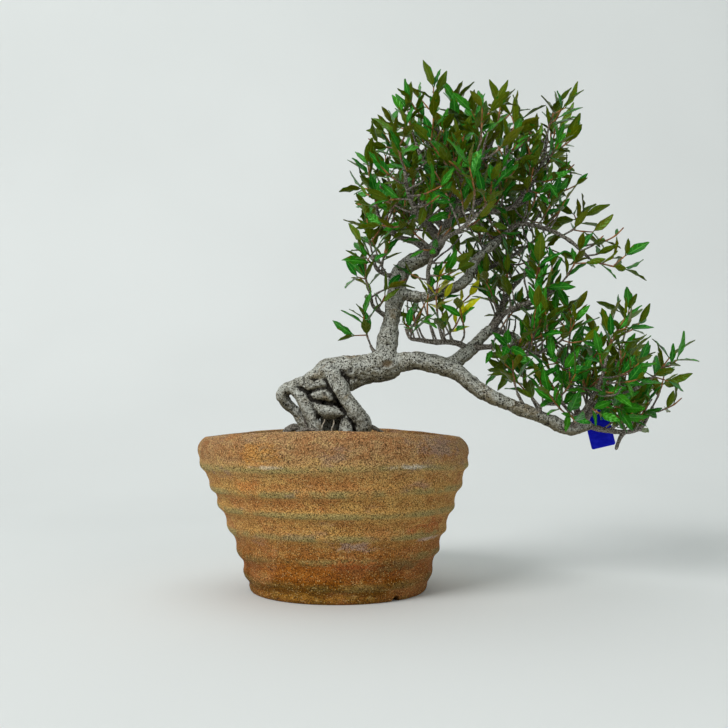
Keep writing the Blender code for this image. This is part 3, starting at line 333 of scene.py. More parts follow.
# The blank hanging tag and the wire loop that it hangs from.
TAG_SIZE = (12.5, 0.8, 20.5)
TAG_TILT = np.radians(13.0)
TAG_HOLE_RADIUS = 1.3
TAG_HOLE_FROM_TOP = 2.6
LOOP_AT = np.array((131.5, 13.0, 94.2))
LOOP_BRANCH_RADIUS = 1.3
LOOP_RADIUS = 3.4
LOOP_WIRE = 0.35
LOOP_SIDES = (14, 4)
FINE_LOOP_SIDES = (72, 10)

# Finer values for the pieces that stand for the solids.
POT_AROUND = 288
WALL_STEPS = 120
INSIDE_STEPS = 24
RIDGES_END = 71.0
SOIL_AROUND = 180
SOIL_STEPS = 56
GRANULES = 900
GRANULE_SIZE = (0.8, 2.1)
BOUGH_SIDES = 16
BOUGH_STEP = 1.6
HOLLOW_RISE = 1.2
WOOD_CELL = 0.5
WOOD_GROWTH = 0.35
CREASE_WIDTH = 2.2
WEAR_FROM = 70.0
WOUND = (np.array((24.4, -9.5, 112.7)), np.array((3.6, 4.5, 2.4)), 1.2)
BRANCH_SIDES = 10
BRANCH_STEP = 1.1
THIN_ROOT_SIDES = 8
THIN_ROOT_STEP = 0.8
STEM_SIDES = 7
STEM_STEP = 1.0
STEM_TIP = 2.2
GRAIN_SHARP_ANGLE = np.radians(70.0)
STEM_SHARE = 0.58
LEAF_FOLD = 0.26
LEAF_CRINKLE = 0.075
BLADE_THICKNESS = 0.32

# Thin roots that only the finished look has: they lie over the soil and hang from the knot.
SURFACE_ROOTS = (
    ((-27.5, 3, 75.0, 1.8), (-25.5, 2, 79.5, 2.1), (-22.0, 1, 81.5, 1.9), (-18.0, 1, 80.0, 1.6)),
    ((13.5, -5, 82.5, 1.8), (18.0, -5, 81.0, 1.0), (22.0, -5, 78.6, 0.8), (27.0, -5, 75.0, 0.6)),
    ((-12.0, 16, 84.0, 1.8), (-15.0, 22, 80.0, 1.4), (-20.0, 29, 75.5, 0.9)),
    ((-20.5, -2, 79.0, 1.2), (-15.0, -10, 80.5, 1.0), (-9.0, -15, 79.5, 0.9), (-3.0, -18, 75.0, 0.7)),
    ((-15.8, 0, 89.5, 0.7), (-16.6, -2, 84.5, 0.6), (-15.2, -3, 80.0, 0.6), (-15.4, -4, 74.0, 0.5)),
)
ROOT_HAIRS = (
    ((-7.1, -9.0, 88.5, 0.38), (-6.5, -10.3, 85.0, 0.34), (-7.9, -10.3, 81.6, 0.32), (-8.2, -9, 75.0, 0.3)),
    ((-2.7, -9.0, 86.5, 0.38), (-2.1, -10.3, 83.5, 0.36), (-3.1, -10.3, 80.5, 0.32), (-3.3, -9, 75.0, 0.3)),
)

# Thin sprays between the shoots.
SPRAY_SEED = 11
SPRAY_SPACING = 3.4
SPRAY_LENGTH = (9.0, 30.0)
SPRAY_NODE = 5.0
SPRAY_RADIUS = (0.5, 0.34)
SPRAY_BARE = 0.12
YELLOWING = {"bright_twig": 0.85}

# The crown's outline as the front view sees it, in the plane y = 0.
CROWN_OUTLINE = (
    (0, 145), (-3, 161), (0, 176), (6, 189), (7, 202), (14, 211), (12, 225), (16, 243), (19, 252),
    (21, 263), (27, 256), (33, 262), (38, 255), (45, 256), (51, 267), (57, 259), (66, 256), (77, 264),
    (81, 260), (88, 252), (92, 242), (102, 246), (111, 242), (113, 235), (120, 248), (129, 244),
    (128, 237), (122, 227), (117, 217), (124, 217), (128, 208), (121, 201), (115, 193), (112, 188),
    (120, 184), (130, 178), (138, 178), (140, 190), (145, 184), (147, 173), (158, 163), (154, 158),
    (140, 163), (132, 165), (135, 153), (148, 147), (156, 142), (168, 141), (161, 134), (163, 125),
    (173, 123), (184, 119), (177, 114), (176, 99), (172, 93), (162, 81), (150, 77), (133, 77),
    (110, 79), (96, 93), (83, 99), (73, 109), (70, 119), (58, 120), (31, 119), (19, 119), (7, 123),
    (3, 134),
)

BARE_BRANCHES = ("spur", "neck_twig", "drop_left", "drop_right")
BOX_LOW = np.array((-69.0, -66.6, 0.0))
BOX_HIGH = np.array((178.4, 66.6, 265.7))

# The lip's curve, as (inward, below the rim), and the widest that the pot may be.
LIP_CURVE = (
    (0.0, 7.5), (0.15, 6.0), (0.7, 4.4), (1.6, 2.9), (2.9, 1.35), (4.4, 0.25), (5.3, 0.55), (5.9, 2.0),
    (6.0, 4.5),
)
FOOT_CURVE = ((2.5, 0.0), (0.9, 0.0), (0.35, 0.15), (0.05, 0.6), (0.0, 1.2))
WIDEST = 66.8

# Stains on the clay: the middle, how far each reaches along x, y and z, and its colour.
STAINS = (
    ((-35, -59, 67), (9, 12, 5), (0.460, 0.215, 0.045)),
    ((-40, -49, 53), (5, 12, 3), (0.450, 0.170, 0.045)),
    ((43, -33, 34), (9, 16, 3.5), (0.370, 0.095, 0.030)),
    ((9, -48, 18), (17, 14, 2.4), (0.400, 0.095, 0.020)),
    ((-16, -45, 15), (18, 16, 4), (0.400, 0.150, 0.020)),
    ((33, -56, 62), (7, 12, 1.1), (0.520, 0.500, 0.460)),
    ((9, -51, 27), (8, 14, 2.0), (0.380, 0.290, 0.260)),
    ((43, -29, 28), (6, 16, 1.0), (0.480, 0.430, 0.400)),
    ((47, -46, 71), (12, 18, 5), (0.250, 0.180, 0.160)),
    ((29, -38, 17), (13, 20, 2.6), (0.130, 0.108, 0.040)),
    ((-30, -59, 62), (6, 12, 0.8), (0.480, 0.420, 0.330)),
    ((-20, -42, 3), (26, 16, 2.4), (0.330, 0.165, 0.026)),
)

# The fine leaf: where its sections lie, and its stalk.
LEAF_STATIONS_FINE = (0.0, 0.07, 0.16, 0.30, 0.46, 0.62, 0.78, 0.92)
STALK = 0.07
STALK_RADIUS = 0.28

# Lights: name, place, what it points at, width, power.
LIGHTS = (
    ("key", (-1500, -1700, 1700), (40, 0, 110), 1300, 53.0),
    ("fill", (1900, -1400, 800), (40, 0, 110), 1700, 7.0),
    ("top", (60, 200, 2400), (40, 0, 100), 1800, 8.0),
)
WORLD_STRENGTH = 0.36
SWEEP_FROM = 350.0
SWEEP = 800.0
FLOOR_REACH = 4000.0


def unit(vector):
    """The vector at a length of one."""
    return vector / np.linalg.norm(vector)


def smooth_route(points, count):
    """A Catmull-Rom curve through the points and radii, read at count even steps of its length."""
    points = np.asarray(points, float)
    padded = np.vstack((2 * points[0] - points[1], points, 2 * points[-1] - points[-2]))
    t = np.linspace(0, 1, 12, endpoint=False)[:, None]
    spans = []
    for i in range(len(points) - 1):
        a, b, c, d = padded[i : i + 4]
        cubic = 2 * b + (c - a) * t + (2 * a - 5 * b + 4 * c - d) * t**2 + (3 * b - a - 3 * c + d) * t**3
        spans.append(0.5 * cubic)
    dense = np.vstack((*spans, points[-1:]))
    run = np.append(0, np.cumsum(np.linalg.norm(np.diff(dense[:, :3], axis=0), axis=1)))
    even = np.linspace(0, run[-1], count)
    return np.column_stack([np.interp(even, run, column) for column in dense.T])


def directions(route):
    """The unit direction of the route at each of its points."""
    steps = np.gradient(route[:, :3], axis=0)
    return steps / np.linalg.norm(steps, axis=1)[:, None]


def at_share(route, share):
    """(point, direction, radius) at a share of the route's points, from 0 to 1."""
    where = share * (len(route) - 1)
    along = directions(route)
    index = np.arange(len(route))
    point = np.array([np.interp(where, index, route[:, k]) for k in range(4)])
    heading = np.array([np.interp(where, index, along[:, k]) for k in range(3)])
    return point[:3], unit(heading), point[3]


def across(direction, turn=0.0):
    """A unit vector square to the direction, turned about it."""
    other = np.array((1.0, 0.0, 0.0)) if abs(direction[0]) < 0.8 else np.array((0.0, 1.0, 0.0))
    first = unit(np.cross(direction, other))
    return first * np.cos(turn) + np.cross(direction, first) * np.sin(turn)


def corner_rings(route, sides, first=None, extra=0.0):
    """A ring of corners at each point of the route, with as little twist as can be from the first."""
    normal = first
    rings = []
    turns = np.arange(sides) * 2 * np.pi / sides
    for (x, y, z, radius), heading in zip(route, directions(route)):
        normal = across(heading) if normal is None else unit(normal - heading * np.dot(normal, heading))
        circle = np.outer(np.cos(turns), normal) + np.outer(np.sin(turns), np.cross(heading, normal))
        rings.append(np.array((x, y, z)) + circle * (radius + extra))
    return np.array(rings)


def tube(route, sides, extra=0.0):
    """(points, faces) of a closed tube with a ring of corners at each point of the route."""
    return turned(corner_rings(np.array(route, float), sides, extra=extra))


def leaf(root, way, upper, length, width, arch):
    """One leaf: its root's corners, the way it points, the way its upper face looks, and its size.

    The corners of the root are the rib's and then those of the two margins."""
    upper = unit(upper - way * np.dot(upper, way))
    return {"root": root, "way": way, "upper": upper, "length": length, "width": width, "arch": arch}


def blade(shape, extra=0.0):
    """(points, faces) of a leaf: its root, two more three-cornered sections, and the tip.

    The rib runs below the two margins, and the blade arches back by the square of the way along."""
    way, upper, length = shape["way"], shape["upper"], shape["length"]
    side = np.cross(way, upper)
    start = shape["root"].mean(0)

    def middle(share):
        return start + way * length * share - upper * shape["arch"] * length * share**2

    spokes = shape["root"] - start
    points = list(shape["root"] + spokes / np.linalg.norm(spokes, axis=1)[:, None] * extra)
    for share, wide in LEAF_STATIONS:
        half = shape["width"] / 2 * wide + extra
        lift = LEAF_THICKNESS / 2 + extra
        points.append(middle(share) - upper * lift)
        points += [middle(share) - side * half + upper * lift, middle(share) + side * half + upper * lift]
    points.append(middle(1.0) + way * extra)
    faces = [(2, 1, 0)]
    for a, b in ((0, 1), (1, 2), (2, 0)):
        faces += [(a, b, b + 3), (a, b + 3, a + 3)]
        faces += [(a + 3, b + 3, b + 6), (a + 3, b + 6, a + 6), (a + 6, b + 6, 9)]
    return np.array(points), faces


def outer_blade(shape, share):
    """A leaf without the part next to its root, for the tests against its own shoot."""
    points, faces = blade(shape)
    points[:3] += share * (points[3:6] - points[:3])
    return points, faces


def outer_twig(route):
    """A twig without the part next to the stem that it grows from, for the same tests."""
    outer = route.copy()
    outer[0] += CLEAR_OF_STEM * (outer[1] - outer[0])
    return tube(outer, 4, GAP / 2)


def crosses_itself(solid):
    """Whether two faces that share no point cross."""
    points, faces = solid
    tree = BVHTree.FromPolygons([tuple(p) for p in points], faces)
    return any(not set(faces[a]) & set(faces[b]) for a, b in tree.overlap(tree))


class Space:
    """The solids placed so far, each with its box, its faces and its owner."""

    def __init__(self):
        self.lows, self.highs, self.trees, self.owners = [], [], [], []

    def add(self, solid, owner):
        points, faces = solid
        self.lows.append(points.min(0))
        self.highs.append(points.max(0))
        self.trees.append(BVHTree.FromPolygons([tuple(p) for p in points], faces))
        self.owners.append(owner)

    def free(self, solid, skip=(), only=None):
        """Whether nothing crosses the solid, leaving out the owners to skip, or testing one alone."""
        points, faces = solid
        low, high = points.min(0), points.max(0)
        near = np.all((np.array(self.lows) < high) & (np.array(self.highs) > low), axis=1)
        tree = None
        for i in np.flatnonzero(near):
            if self.owners[i] in skip or (only is not None and self.owners[i] != only):
                continue
            tree = tree or BVHTree.FromPolygons([tuple(p) for p in points], faces)
            if tree.overlap(self.trees[i]):
                return False
        return True

    def forget(self, count):
        """Takes away the solids added after the first count of them."""
        for kept in (self.lows, self.highs, self.trees, self.owners):
            del kept[count:]


def bent_stem(rng, start, heading, runs, radii, rise):
    """A stem in straight runs that starts along its heading and turns up towards the light."""
    points = [start]
    for k, run in enumerate(runs):
        points.append(points[-1] + heading * run)
        if run > NODE_RUN:
            heading = unit(heading + UP * rise + rng.normal(0, 0.14, 3))
    return np.column_stack((np.array(points), np.linspace(radii[0], radii[1], len(points))))


def try_leaf(rng, space, owner, root, axis, out, opening):
    """A leaf at the root, tried with small changes until it is clear of all else, or None."""
    length = rng.uniform(*LEAF_LENGTH)
    width = length * rng.uniform(*LEAF_WIDTH_SHARE)
    arch = rng.uniform(0.02, 0.16)
    for _ in range(TRIES):
        spread = np.radians(opening) + rng.normal(0, 0.2)
        aside = np.cross(axis, out) * rng.normal(0, 0.22)
        way = unit(axis * np.cos(spread) + out * np.sin(spread) + aside + UP * 0.22)
        upper = axis * np.sin(spread) - out * np.cos(spread) + UP * 0.3 + rng.normal(0, 0.18, 3)
        grown = leaf(root, way, upper, length, width, arch)
        if (
            not crosses_itself(blade(grown))
            and space.free(outer_blade(grown, CLEAR_OF_STEM), only=owner)
            and space.free(outer_blade(grown, CLEAR_OF_LEAF), only=owner + " leaves")
            and space.free(blade(grown, GAP), skip=(owner, owner + " leaves"))
        ):
            space.add(blade(grown), owner + " leaves")
            return grown
        length *= 0.95
        width *= 0.95
    return None


class Limb:
    """A four-sided stem: its route, its rings, and what grows from each of its faces."""

    def __init__(self, route, first):
        self.route = route
        self.rings = corner_rings(route, 4, first)
        self.grown = {}

    def face(self, run, side):
        """(corners, axis, outward direction) of one face of one run of the stem."""
        lower, upper = self.rings[run], self.rings[run + 1]
        corners = np.array((lower[side], lower[side - 3], upper[side - 3], upper[side]))
        axis = unit(self.route[run + 1, :3] - self.route[run, :3])
        out = corners.mean(0) - self.route[run : run + 2, :3].mean(0)
        return corners, axis, unit(out - axis * np.dot(out, axis))


def add_pair(rng, space, owner, limb, run, side, opening):
    """Two opposite leaves on a short run of the stem."""
    for face in (side, side + 2):
        corners, axis, out = limb.face(run, face)
        limb.grown[run, face] = try_leaf(rng, space, owner, corners[[0, 2, 3]], axis, out, opening)


def add_end_pair(rng, space, owner, limb):
    """Two leaves from the end of a stem, one from each half of its end face."""
    axis = unit(limb.route[-1, :3] - limb.route[-2, :3])
    ring = limb.rings[-1]
    for corner in (1, 3):
        root = ring[[corner, (corner + 1) % 4, corner - 1]]
        out = unit(ring[corner] - ring.mean(0))
        limb.grown["end", corner] = try_leaf(rng, space, owner, root, axis, out, END_OPENING)


def add_twig(rng, space, owner, limb, run, side, outward):
    """A side twig from one face of a short run, with a pair part way along it and a pair at its end."""
    corners, axis, out = limb.face(run, side)
    root = corners.mean(0)
    for _ in range(TRIES):
        aside = rng.normal(0, 0.15, 3)
        heading = unit(out + axis * rng.uniform(0.3, 0.8) + outward * 0.3 + UP * 0.15 + aside)
        length = rng.uniform(*TWIG_LENGTH)
        long = length > TWIG_WITH_PAIR
        runs = (length * 0.5, NODE_RUN, length * 0.5) if long else (length,)
        route = bent_stem(rng, root, heading, runs, TWIG_RADIUS, 0.3)
        if (
            np.dot(heading, out) > 0.5
            and space.free(outer_twig(route), only=owner)
            and space.free(tube(route, 4, GAP * 1.5), skip=(owner,))
        ):
            break
    else:
        return None
    corner = corners[0] - root
    twig = Limb(route, unit(corner - heading * np.dot(corner, heading)))
    limb.grown[run, side] = twig
    space.add(tube(route, 4), owner)
    add_end_pair(rng, space, owner, twig)
    if long:
        add_pair(rng, space, owner, twig, 1, int(rng.integers(2)), TWIG_OPENING)
    return twig


def start_clear(space, point, heading, reach):
    """The point nearest the branch where a stem can start with a gap to it."""
    for _ in range(24):
        first = point + heading * reach
        stub = np.column_stack((np.array((first, first + heading * 1.5)), (SHOOT_RADIUS[0],) * 2))
        if space.free(tube(stub, 4, GAP)):
            return first
        reach += 0.12
    return None


def grow_shoot(rng, space, name, branch, share):
    """A shoot from a branch: its stem with three pairs of leaves, and twigs from its two lower nodes."""
    at_tip = share == 1.0
    point, tangent, branch_radius = at_share(branch, share)
    mass = LEAF_MASSES[np.argmin(np.linalg.norm(LEAF_MASSES - point, axis=1))]
    outward = unit(point - mass)
    for _ in range(TRIES * 3):
        if at_tip:
            heading = unit(tangent + outward * 0.2 + UP * 0.25 + rng.normal(0, 0.08, 3))
        else:
            wanted = outward + UP + rng.normal(0, 0.38, 3)
            square = wanted - tangent * np.dot(wanted, tangent)
            heading = unit(unit(square) + tangent * 0.45)
        start = start_clear(space, point, heading, GAP if at_tip else branch_radius)
        if start is None:
            continue
        length = rng.uniform(*SHOOT_LENGTH)
        runs = (length * 0.38, NODE_RUN, length * 0.3, NODE_RUN, length * 0.32)
        route = bent_stem(rng, start, heading, runs, SHOOT_RADIUS, 0.22)
        if space.free(tube(route, 4, GAP)):
            break
    else:
        return None
    stem = Limb(route, across(heading, rng.uniform(0, np.pi)))
    space.add(tube(route, 4), name)
    add_end_pair(rng, space, name, stem)
    turn = int(rng.integers(2))
    for run, side in ((3, turn), (1, turn + 1)):
        add_twig(rng, space, name, stem, run, (side + 1 + 2 * int(rng.integers(2))) % 4, outward)
        add_pair(rng, space, name, stem, run, side % 2, STEM_OPENING)
    return {"name": name, "stem": stem}


def front_opening(route, first, last):
    """(points, faces) of the space in front of a bough that leaves keep out of: its outline, drawn
    from the bough towards the front view."""
    line = smooth_route(route, 30)[int(first * 29) : int(last * 29) + 1]
    sight = FRONT_VIEW - line[:, :3]
    side = np.cross(directions(line), sight)
    side *= line[:, 3:] / np.linalg.norm(side, axis=1)[:, None]
    far, near = line[:, :3] + sight * 0.02, line[:, :3] + sight * OPENING_DEPTH
    return turned(np.stack((far - side, far + side, near + side, near - side), axis=1))


def grow_crown(space):
    """Every shoot, branch by branch: one goes on from the tip, the others stand along the branch."""
    for name, (first, last) in SHOWN_BARE.items():
        space.add(front_opening(BOUGHS[name], first, last), "opening")
    shoots = []
    for number, (name, (route, count)) in enumerate(BRANCHES.items()):
        branch = smooth_route(route, len(route))
        for k in range(count):
            rng = np.random.default_rng((SEED, number, k))
            share = 1.0 if k == 0 else 0.95 - 0.27 * k
            for _ in range(TRIES):
                placed = len(space.owners)
                shoot = grow_shoot(rng, space, f"shoot_{name}_{k + 1}", branch, share)
                if shoot is None or not crosses_itself(shoot_solid(shoot)):
                    break
                space.forget(placed)
            if shoot is not None:
                shoots.append(shoot)
    return shoots


class Skin:
    """The one closed surface of a shoot, put together from stems and leaves face by face."""

    def __init__(self):
        self.points = []
        self.faces = []

    def add(self, points):
        """Adds the points, and gives their numbers."""
        self.points.extend(points)
        return list(range(len(self.points) - len(points), len(self.points)))

    def band(self, lower, upper):
        """Two triangles for each side between two rings."""
        for k in range(len(lower)):
            self.faces.append((lower[k - 1], lower[k], upper[k]))
            self.faces.append((lower[k - 1], upper[k], upper[k - 1]))

    def leaf(self, root, shape):
        """A leaf on a root of three points, the rib's first."""
        points = blade(shape)[0]
        near, far = self.add(points[3:6]), self.add(points[6:9])
        tip = self.add(points[9:])[0]
        self.band(root, near)
        self.band(near, far)
        for k in range(3):
            self.faces.append((far[k - 1], far[k], tip))

    def limb(self, limb, base):
        """A stem from the corners of its base, with all that grows from it."""
        rings = [base] + [self.add(ring) for ring in limb.rings[1:]]
        for run in range(len(rings) - 1):
            for side in range(4):
                a, b = rings[run][side], rings[run][side - 3]
                c, d = rings[run + 1][side - 3], rings[run + 1][side]
                grown = limb.grown.get((run, side))
                if grown is None:
                    self.faces.append((a, b, c, d))
                elif isinstance(grown, Limb):
                    self.limb(grown, [a, b, c, d])
                else:
                    self.faces.append((a, b, c))
                    self.leaf([a, c, d], grown)
        last = rings[-1]
        for corner in (1, 3):
            root = [last[corner], last[(corner + 1) % 4], last[corner - 1]]
            if limb.grown.get(("end", corner)) is None:
                self.faces.append(tuple(root))
            else:
                self.leaf(root, limb.grown["end", corner])


def shoot_solid(shoot):
    """(points, faces) of a whole shoot."""
    skin = Skin()
    base = skin.add(shoot["stem"].rings[0])
    skin.faces.append(tuple(base[::-1]))
    skin.limb(shoot["stem"], base)
    return np.array(skin.points), skin.faces


def rooted(route, boughs):
    """The route with its first point moved to the middle of the nearest bough."""
    route = np.array(route, float)
    near = boughs[np.argmin(np.linalg.norm(boughs[:, :3] - route[0, :3], axis=1))]
    route[0, :3] = near[:3]
    return route


def wood_tubes():
    """The tubes that make the wood: thick ones have more sides."""
    boughs = np.vstack([smooth_route(route, 60) for route in BOUGHS.values()])
    tubes = [tube(smooth_route(route, len(route)), 6) for route in ROOTS.values()]
    for route in BOUGHS.values():
        tubes.append(tube(smooth_route(route, len(route)), 8 if route[0][3] > 3.1 else 6))
    for route, _ in BRANCHES.values():
        branch = smooth_route(rooted(route, boughs), len(route))
        tubes.append(tube(branch, 4))
        boughs = np.vstack((boughs, smooth_route(route, 30)))
    return tubes


def wall_radius(z):
    """The radius of the pot's outer wall at a height, by its profile."""
    heights, radii = np.array(WALL_PROFILE).T
    return np.interp(z, heights, radii)


def rim_height(angle):
    """The rim dips at the two sides, and stands highest at the front and, a little more, at the back."""
    return RIM_HEIGHT - RIM_WAVE * np.cos(2 * angle) + RIM_TILT * np.sin(angle)


def ring(radius, z, angle):
    """Points round the pot's axis, which leans a little to one side with height."""
    lean = POT_LEAN * (z / LEAN_HEIGHT) ** 2
    return np.column_stack((radius * np.cos(angle) + lean, radius * np.sin(angle), z))


def turned(rings):
    """(points, faces) of a closed surface from rings of points, with a flat face at each end."""
    count = len(rings[0])
    faces = [tuple(range(count))[::-1]]
    for i in range(len(rings) - 1):
        for k in range(count):
            a, b = i * count + k, i * count + (k + 1) % count
            faces.append((a, b, b + count, a + count))
    last = (len(rings) - 1) * count
    faces.append(tuple(range(last, last + count)))
    return np.vstack(rings), faces


def ridge_levels():
    """The heights of crests and troughs by turns: a trough lies midway above each crest."""
    crests = np.array(CREST_HEIGHTS)
    tops = np.append(crests[1:], crests[-1] + 9.6)
    return np.column_stack((crests, (crests + tops) / 2)).ravel()


def soil_height(x, y):
    """The soil's surface: level, heaped round the tree, with low lumps."""
    away = np.hypot(x - TREE_FOOT[0], y - TREE_FOOT[1])
    lumps = 0.35 * np.sin(x * 0.45) * np.sin(y * 0.4 + 1.0)
    return SOIL_EDGE + SOIL_HEAP * np.exp(-((away / SOIL_HEAP_WIDTH) ** 2)) + lumps


def tag_solid():
    """The tag's plate, with cut corners at the top, before its hole."""
    width, thick, height = TAG_SIZE
    cut = 2.0
    outline = (
        (-width / 2, -height), (width / 2, -height), (width / 2, -cut), (width / 2 - cut, 0),
        (cut - width / 2, 0), (-width / 2, -cut),
    )
    front = [(x, -thick / 2, z) for x, z in outline]
    back = [(x, thick / 2, z) for x, z in outline]
    count = len(outline)
    faces = [tuple(range(count)), tuple(range(count, 2 * count))[::-1]]
    faces += [(k, k + count, (k + 1) % count + count, (k + 1) % count) for k in range(count)]
    return np.array(front + back), faces


def loop_bottom():
    """The lowest point of the wire's middle line: the loop hangs on the branch by its top."""
    return LOOP_AT + UP * (LOOP_BRANCH_RADIUS + GAP + LOOP_WIRE - 2 * LOOP_RADIUS)


def placed_tag(solid):
    """The tag turned by its tilt, so that the top edge of its hole rests on the wire."""
    points, faces = solid
    turn = np.array(
        ((np.cos(TAG_TILT), 0, -np.sin(TAG_TILT)), (0, 1, 0), (np.sin(TAG_TILT), 0, np.cos(TAG_TILT)))
    )
    hole = np.array((0, 0, -TAG_HOLE_FROM_TOP))
    rest = loop_bottom() - UP * (TAG_HOLE_RADIUS - LOOP_WIRE - GAP)
    return (points - hole) @ turn.T + rest, faces


def wire_loop(around, wire, uneven=0.0):
    """(points, faces) of the wire: a small circle carried round a large one, a little uneven."""
    middle = loop_bottom() + UP * LOOP_RADIUS
    turn = np.arange(around)[:, None] * 2 * np.pi / around
    roll = np.arange(wire)[None] * 2 * np.pi / wire
    reach = LOOP_RADIUS + uneven * np.sin(3 * turn + 0.5) + LOOP_WIRE * np.cos(roll)
    x = LOOP_WIRE * np.sin(roll) + 1.2 * uneven * np.sin(2 * turn)
    points = np.stack((x, reach * np.cos(turn), reach * np.sin(turn)), -1) + middle
    return points.reshape(-1, 3), grid_faces(around, wire, round_rows=True)[:, ::-1].tolist()


def lattice_value(cells, seed):
    """A number from -1 to 1 for each whole-numbered cell: its three numbers, mixed bit by bit."""
    x, y, z = cells.astype(np.int64).astype(np.uint32).T
    mixed = x * np.uint32(73856093) ^ y * np.uint32(19349663) ^ z * np.uint32(83492791)
    mixed = mixed + np.uint32(seed * 40503 + 977)
    mixed = (mixed ^ (mixed >> np.uint32(13))) * np.uint32(1274126177)
    mixed = (mixed ^ (mixed >> np.uint32(15))) * np.uint32(2246822519)
    mixed = mixed ^ (mixed >> np.uint32(16))
    return mixed / 2.0**31 - 1.0


def lumps(points, size, seed=0):
    """Smooth lumps of one size: values at the corners of a cubic grid, blended by 3t^2 - 2t^3."""
    scaled = np.asarray(points) / size
    base = np.floor(scaled)
    t = scaled - base
    t = t * t * (3 - 2 * t)
    total = np.zeros(len(scaled))
    for corner in np.ndindex(2, 2, 2):
        weight = np.prod(np.where(corner, t, 1 - t), axis=1)
        total += weight * lattice_value(base + corner, seed)
    return total


def layered_lumps(points, *layers):
    """The sum of lumps of several sizes, each given as (height, size, seed)."""
    return sum(height * lumps(points, size, seed) for height, size, seed in layers)


def grid_faces(rows, columns, first=0, round_rows=False):
    """The quads of a grid of points stored row by row, whose last column joins the first."""
    row = np.arange(rows if round_rows else rows - 1)[:, None]
    column = np.arange(columns)[None]
    after, above = (column + 1) % columns, (row + 1) % rows
    corners = [r * columns + c for r, c in ((row, column), (row, after), (above, after), (above, column))]
    return np.stack(np.broadcast_arrays(*corners), axis=-1).reshape(-1, 4) + first


def closed_by_poles(rings, start, end):
    """(points, faces) of rings of points, one after another, closed by one point at each end."""
    rows, columns = rings.shape[:2]
    points = np.vstack((start, rings.reshape(-1, 3), end))
    near = np.arange(columns) + 1
    far = near + (rows - 1) * columns
    last = np.full(columns, rows * columns + 1)
    cap = np.column_stack((np.zeros(columns, int), np.roll(near, -1), near))
    tip = np.column_stack((far, np.roll(far, -1), last))
    return points, cap.tolist() + grid_faces(rows, columns, 1).tolist() + tip.tolist()


class Parts:
    """Points, faces and values of many small closed shapes that end up in one mesh."""

    def __init__(self):
        self.points, self.faces, self.values, self.count = [], [], {}, 0

    def add(self, points, faces, **values):
        """Adds a shape, with a value, or one for each of its points, under each name."""
        self.faces += [tuple(k + self.count for k in face) for face in faces]
        self.points.append(points)
        self.count += len(points)
        for key, value in values.items():
            value = np.broadcast_to(value, len(points)).astype(float)
            self.values.setdefault(key, []).append(value)

    def solid(self):
        return np.vstack(self.points), self.faces

    def attributes(self):
        return {key: np.concatenate(value) for key, value in self.values.items()}


def placed(points):
    """The points in metres, counted from the pot's underside."""
    return (np.asarray(points) - UP * FOOT_LEVEL) * MM


def put_attribute(mesh, name, values, domain="POINT"):
    """Gives each point, or each face, a number under a name."""
    made = mesh.attributes.new(name, "FLOAT", domain)
    made.data.foreach_set("value", np.asarray(values, np.float32))


def mesh_of(name, solid):
    """A smooth-shaded mesh from points in millimetres and faces."""
    points, faces = solid
    mesh = bpy.data.meshes.new(name)
    mesh.from_pydata(placed(points).tolist(), [], [tuple(face) for face in faces])
    mesh.shade_smooth()
    return mesh


def shown(name, data):
    """A new object of the scene that holds the data."""
    made = bpy.data.objects.new(name, data)
    bpy.context.scene.collection.objects.link(made)
    return made


def piece(name, solid, finish, slot_name, replaced=(), sharp=SHARP_ANGLE, **attributes):
    """A smooth-shaded piece with its finish and its values, fixed to the tree's one body."""
    mesh = mesh_of(name, solid)
    mesh.materials.append(finish)
    mesh.set_sharp_from_angle(angle=sharp)
    for key, values in attributes.items():
        put_attribute(mesh, key, values)
    made = shown(name, mesh)
    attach(made, "root")
    if replaced:
        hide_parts(*replaced)
    return made


def applied(made):
    """The object with its modifiers made part of its mesh."""
    bpy.context.view_layer.update()
    shaped = bpy.data.meshes.new_from_object(made.evaluated_get(bpy.context.evaluated_depsgraph_get()))
    made.modifiers.clear()
    old = made.data
    made.data = shaped
    bpy.data.meshes.remove(old)
    return made


def read_rows(rows, key):
    """The three numbers under a key, for each of the rows."""
    flat = np.empty(len(rows) * 3, np.float32)
    rows.foreach_get(key, flat)
    return flat.reshape(-1, 3).astype(float)


def points_of(mesh):
    """The mesh's points, in millimetres from the level that the tables count from."""
    return read_rows(mesh.vertices, "co") / MM + UP * FOOT_LEVEL


def normals_of(mesh):
    """The direction that each of the mesh's points faces."""
    return read_rows(mesh.vertex_normals, "vector")


def set_points(mesh, points):
    """Moves the mesh's points to the given places."""
    mesh.vertices.foreach_set("co", placed(points).astype(np.float32).ravel())
    mesh.update()


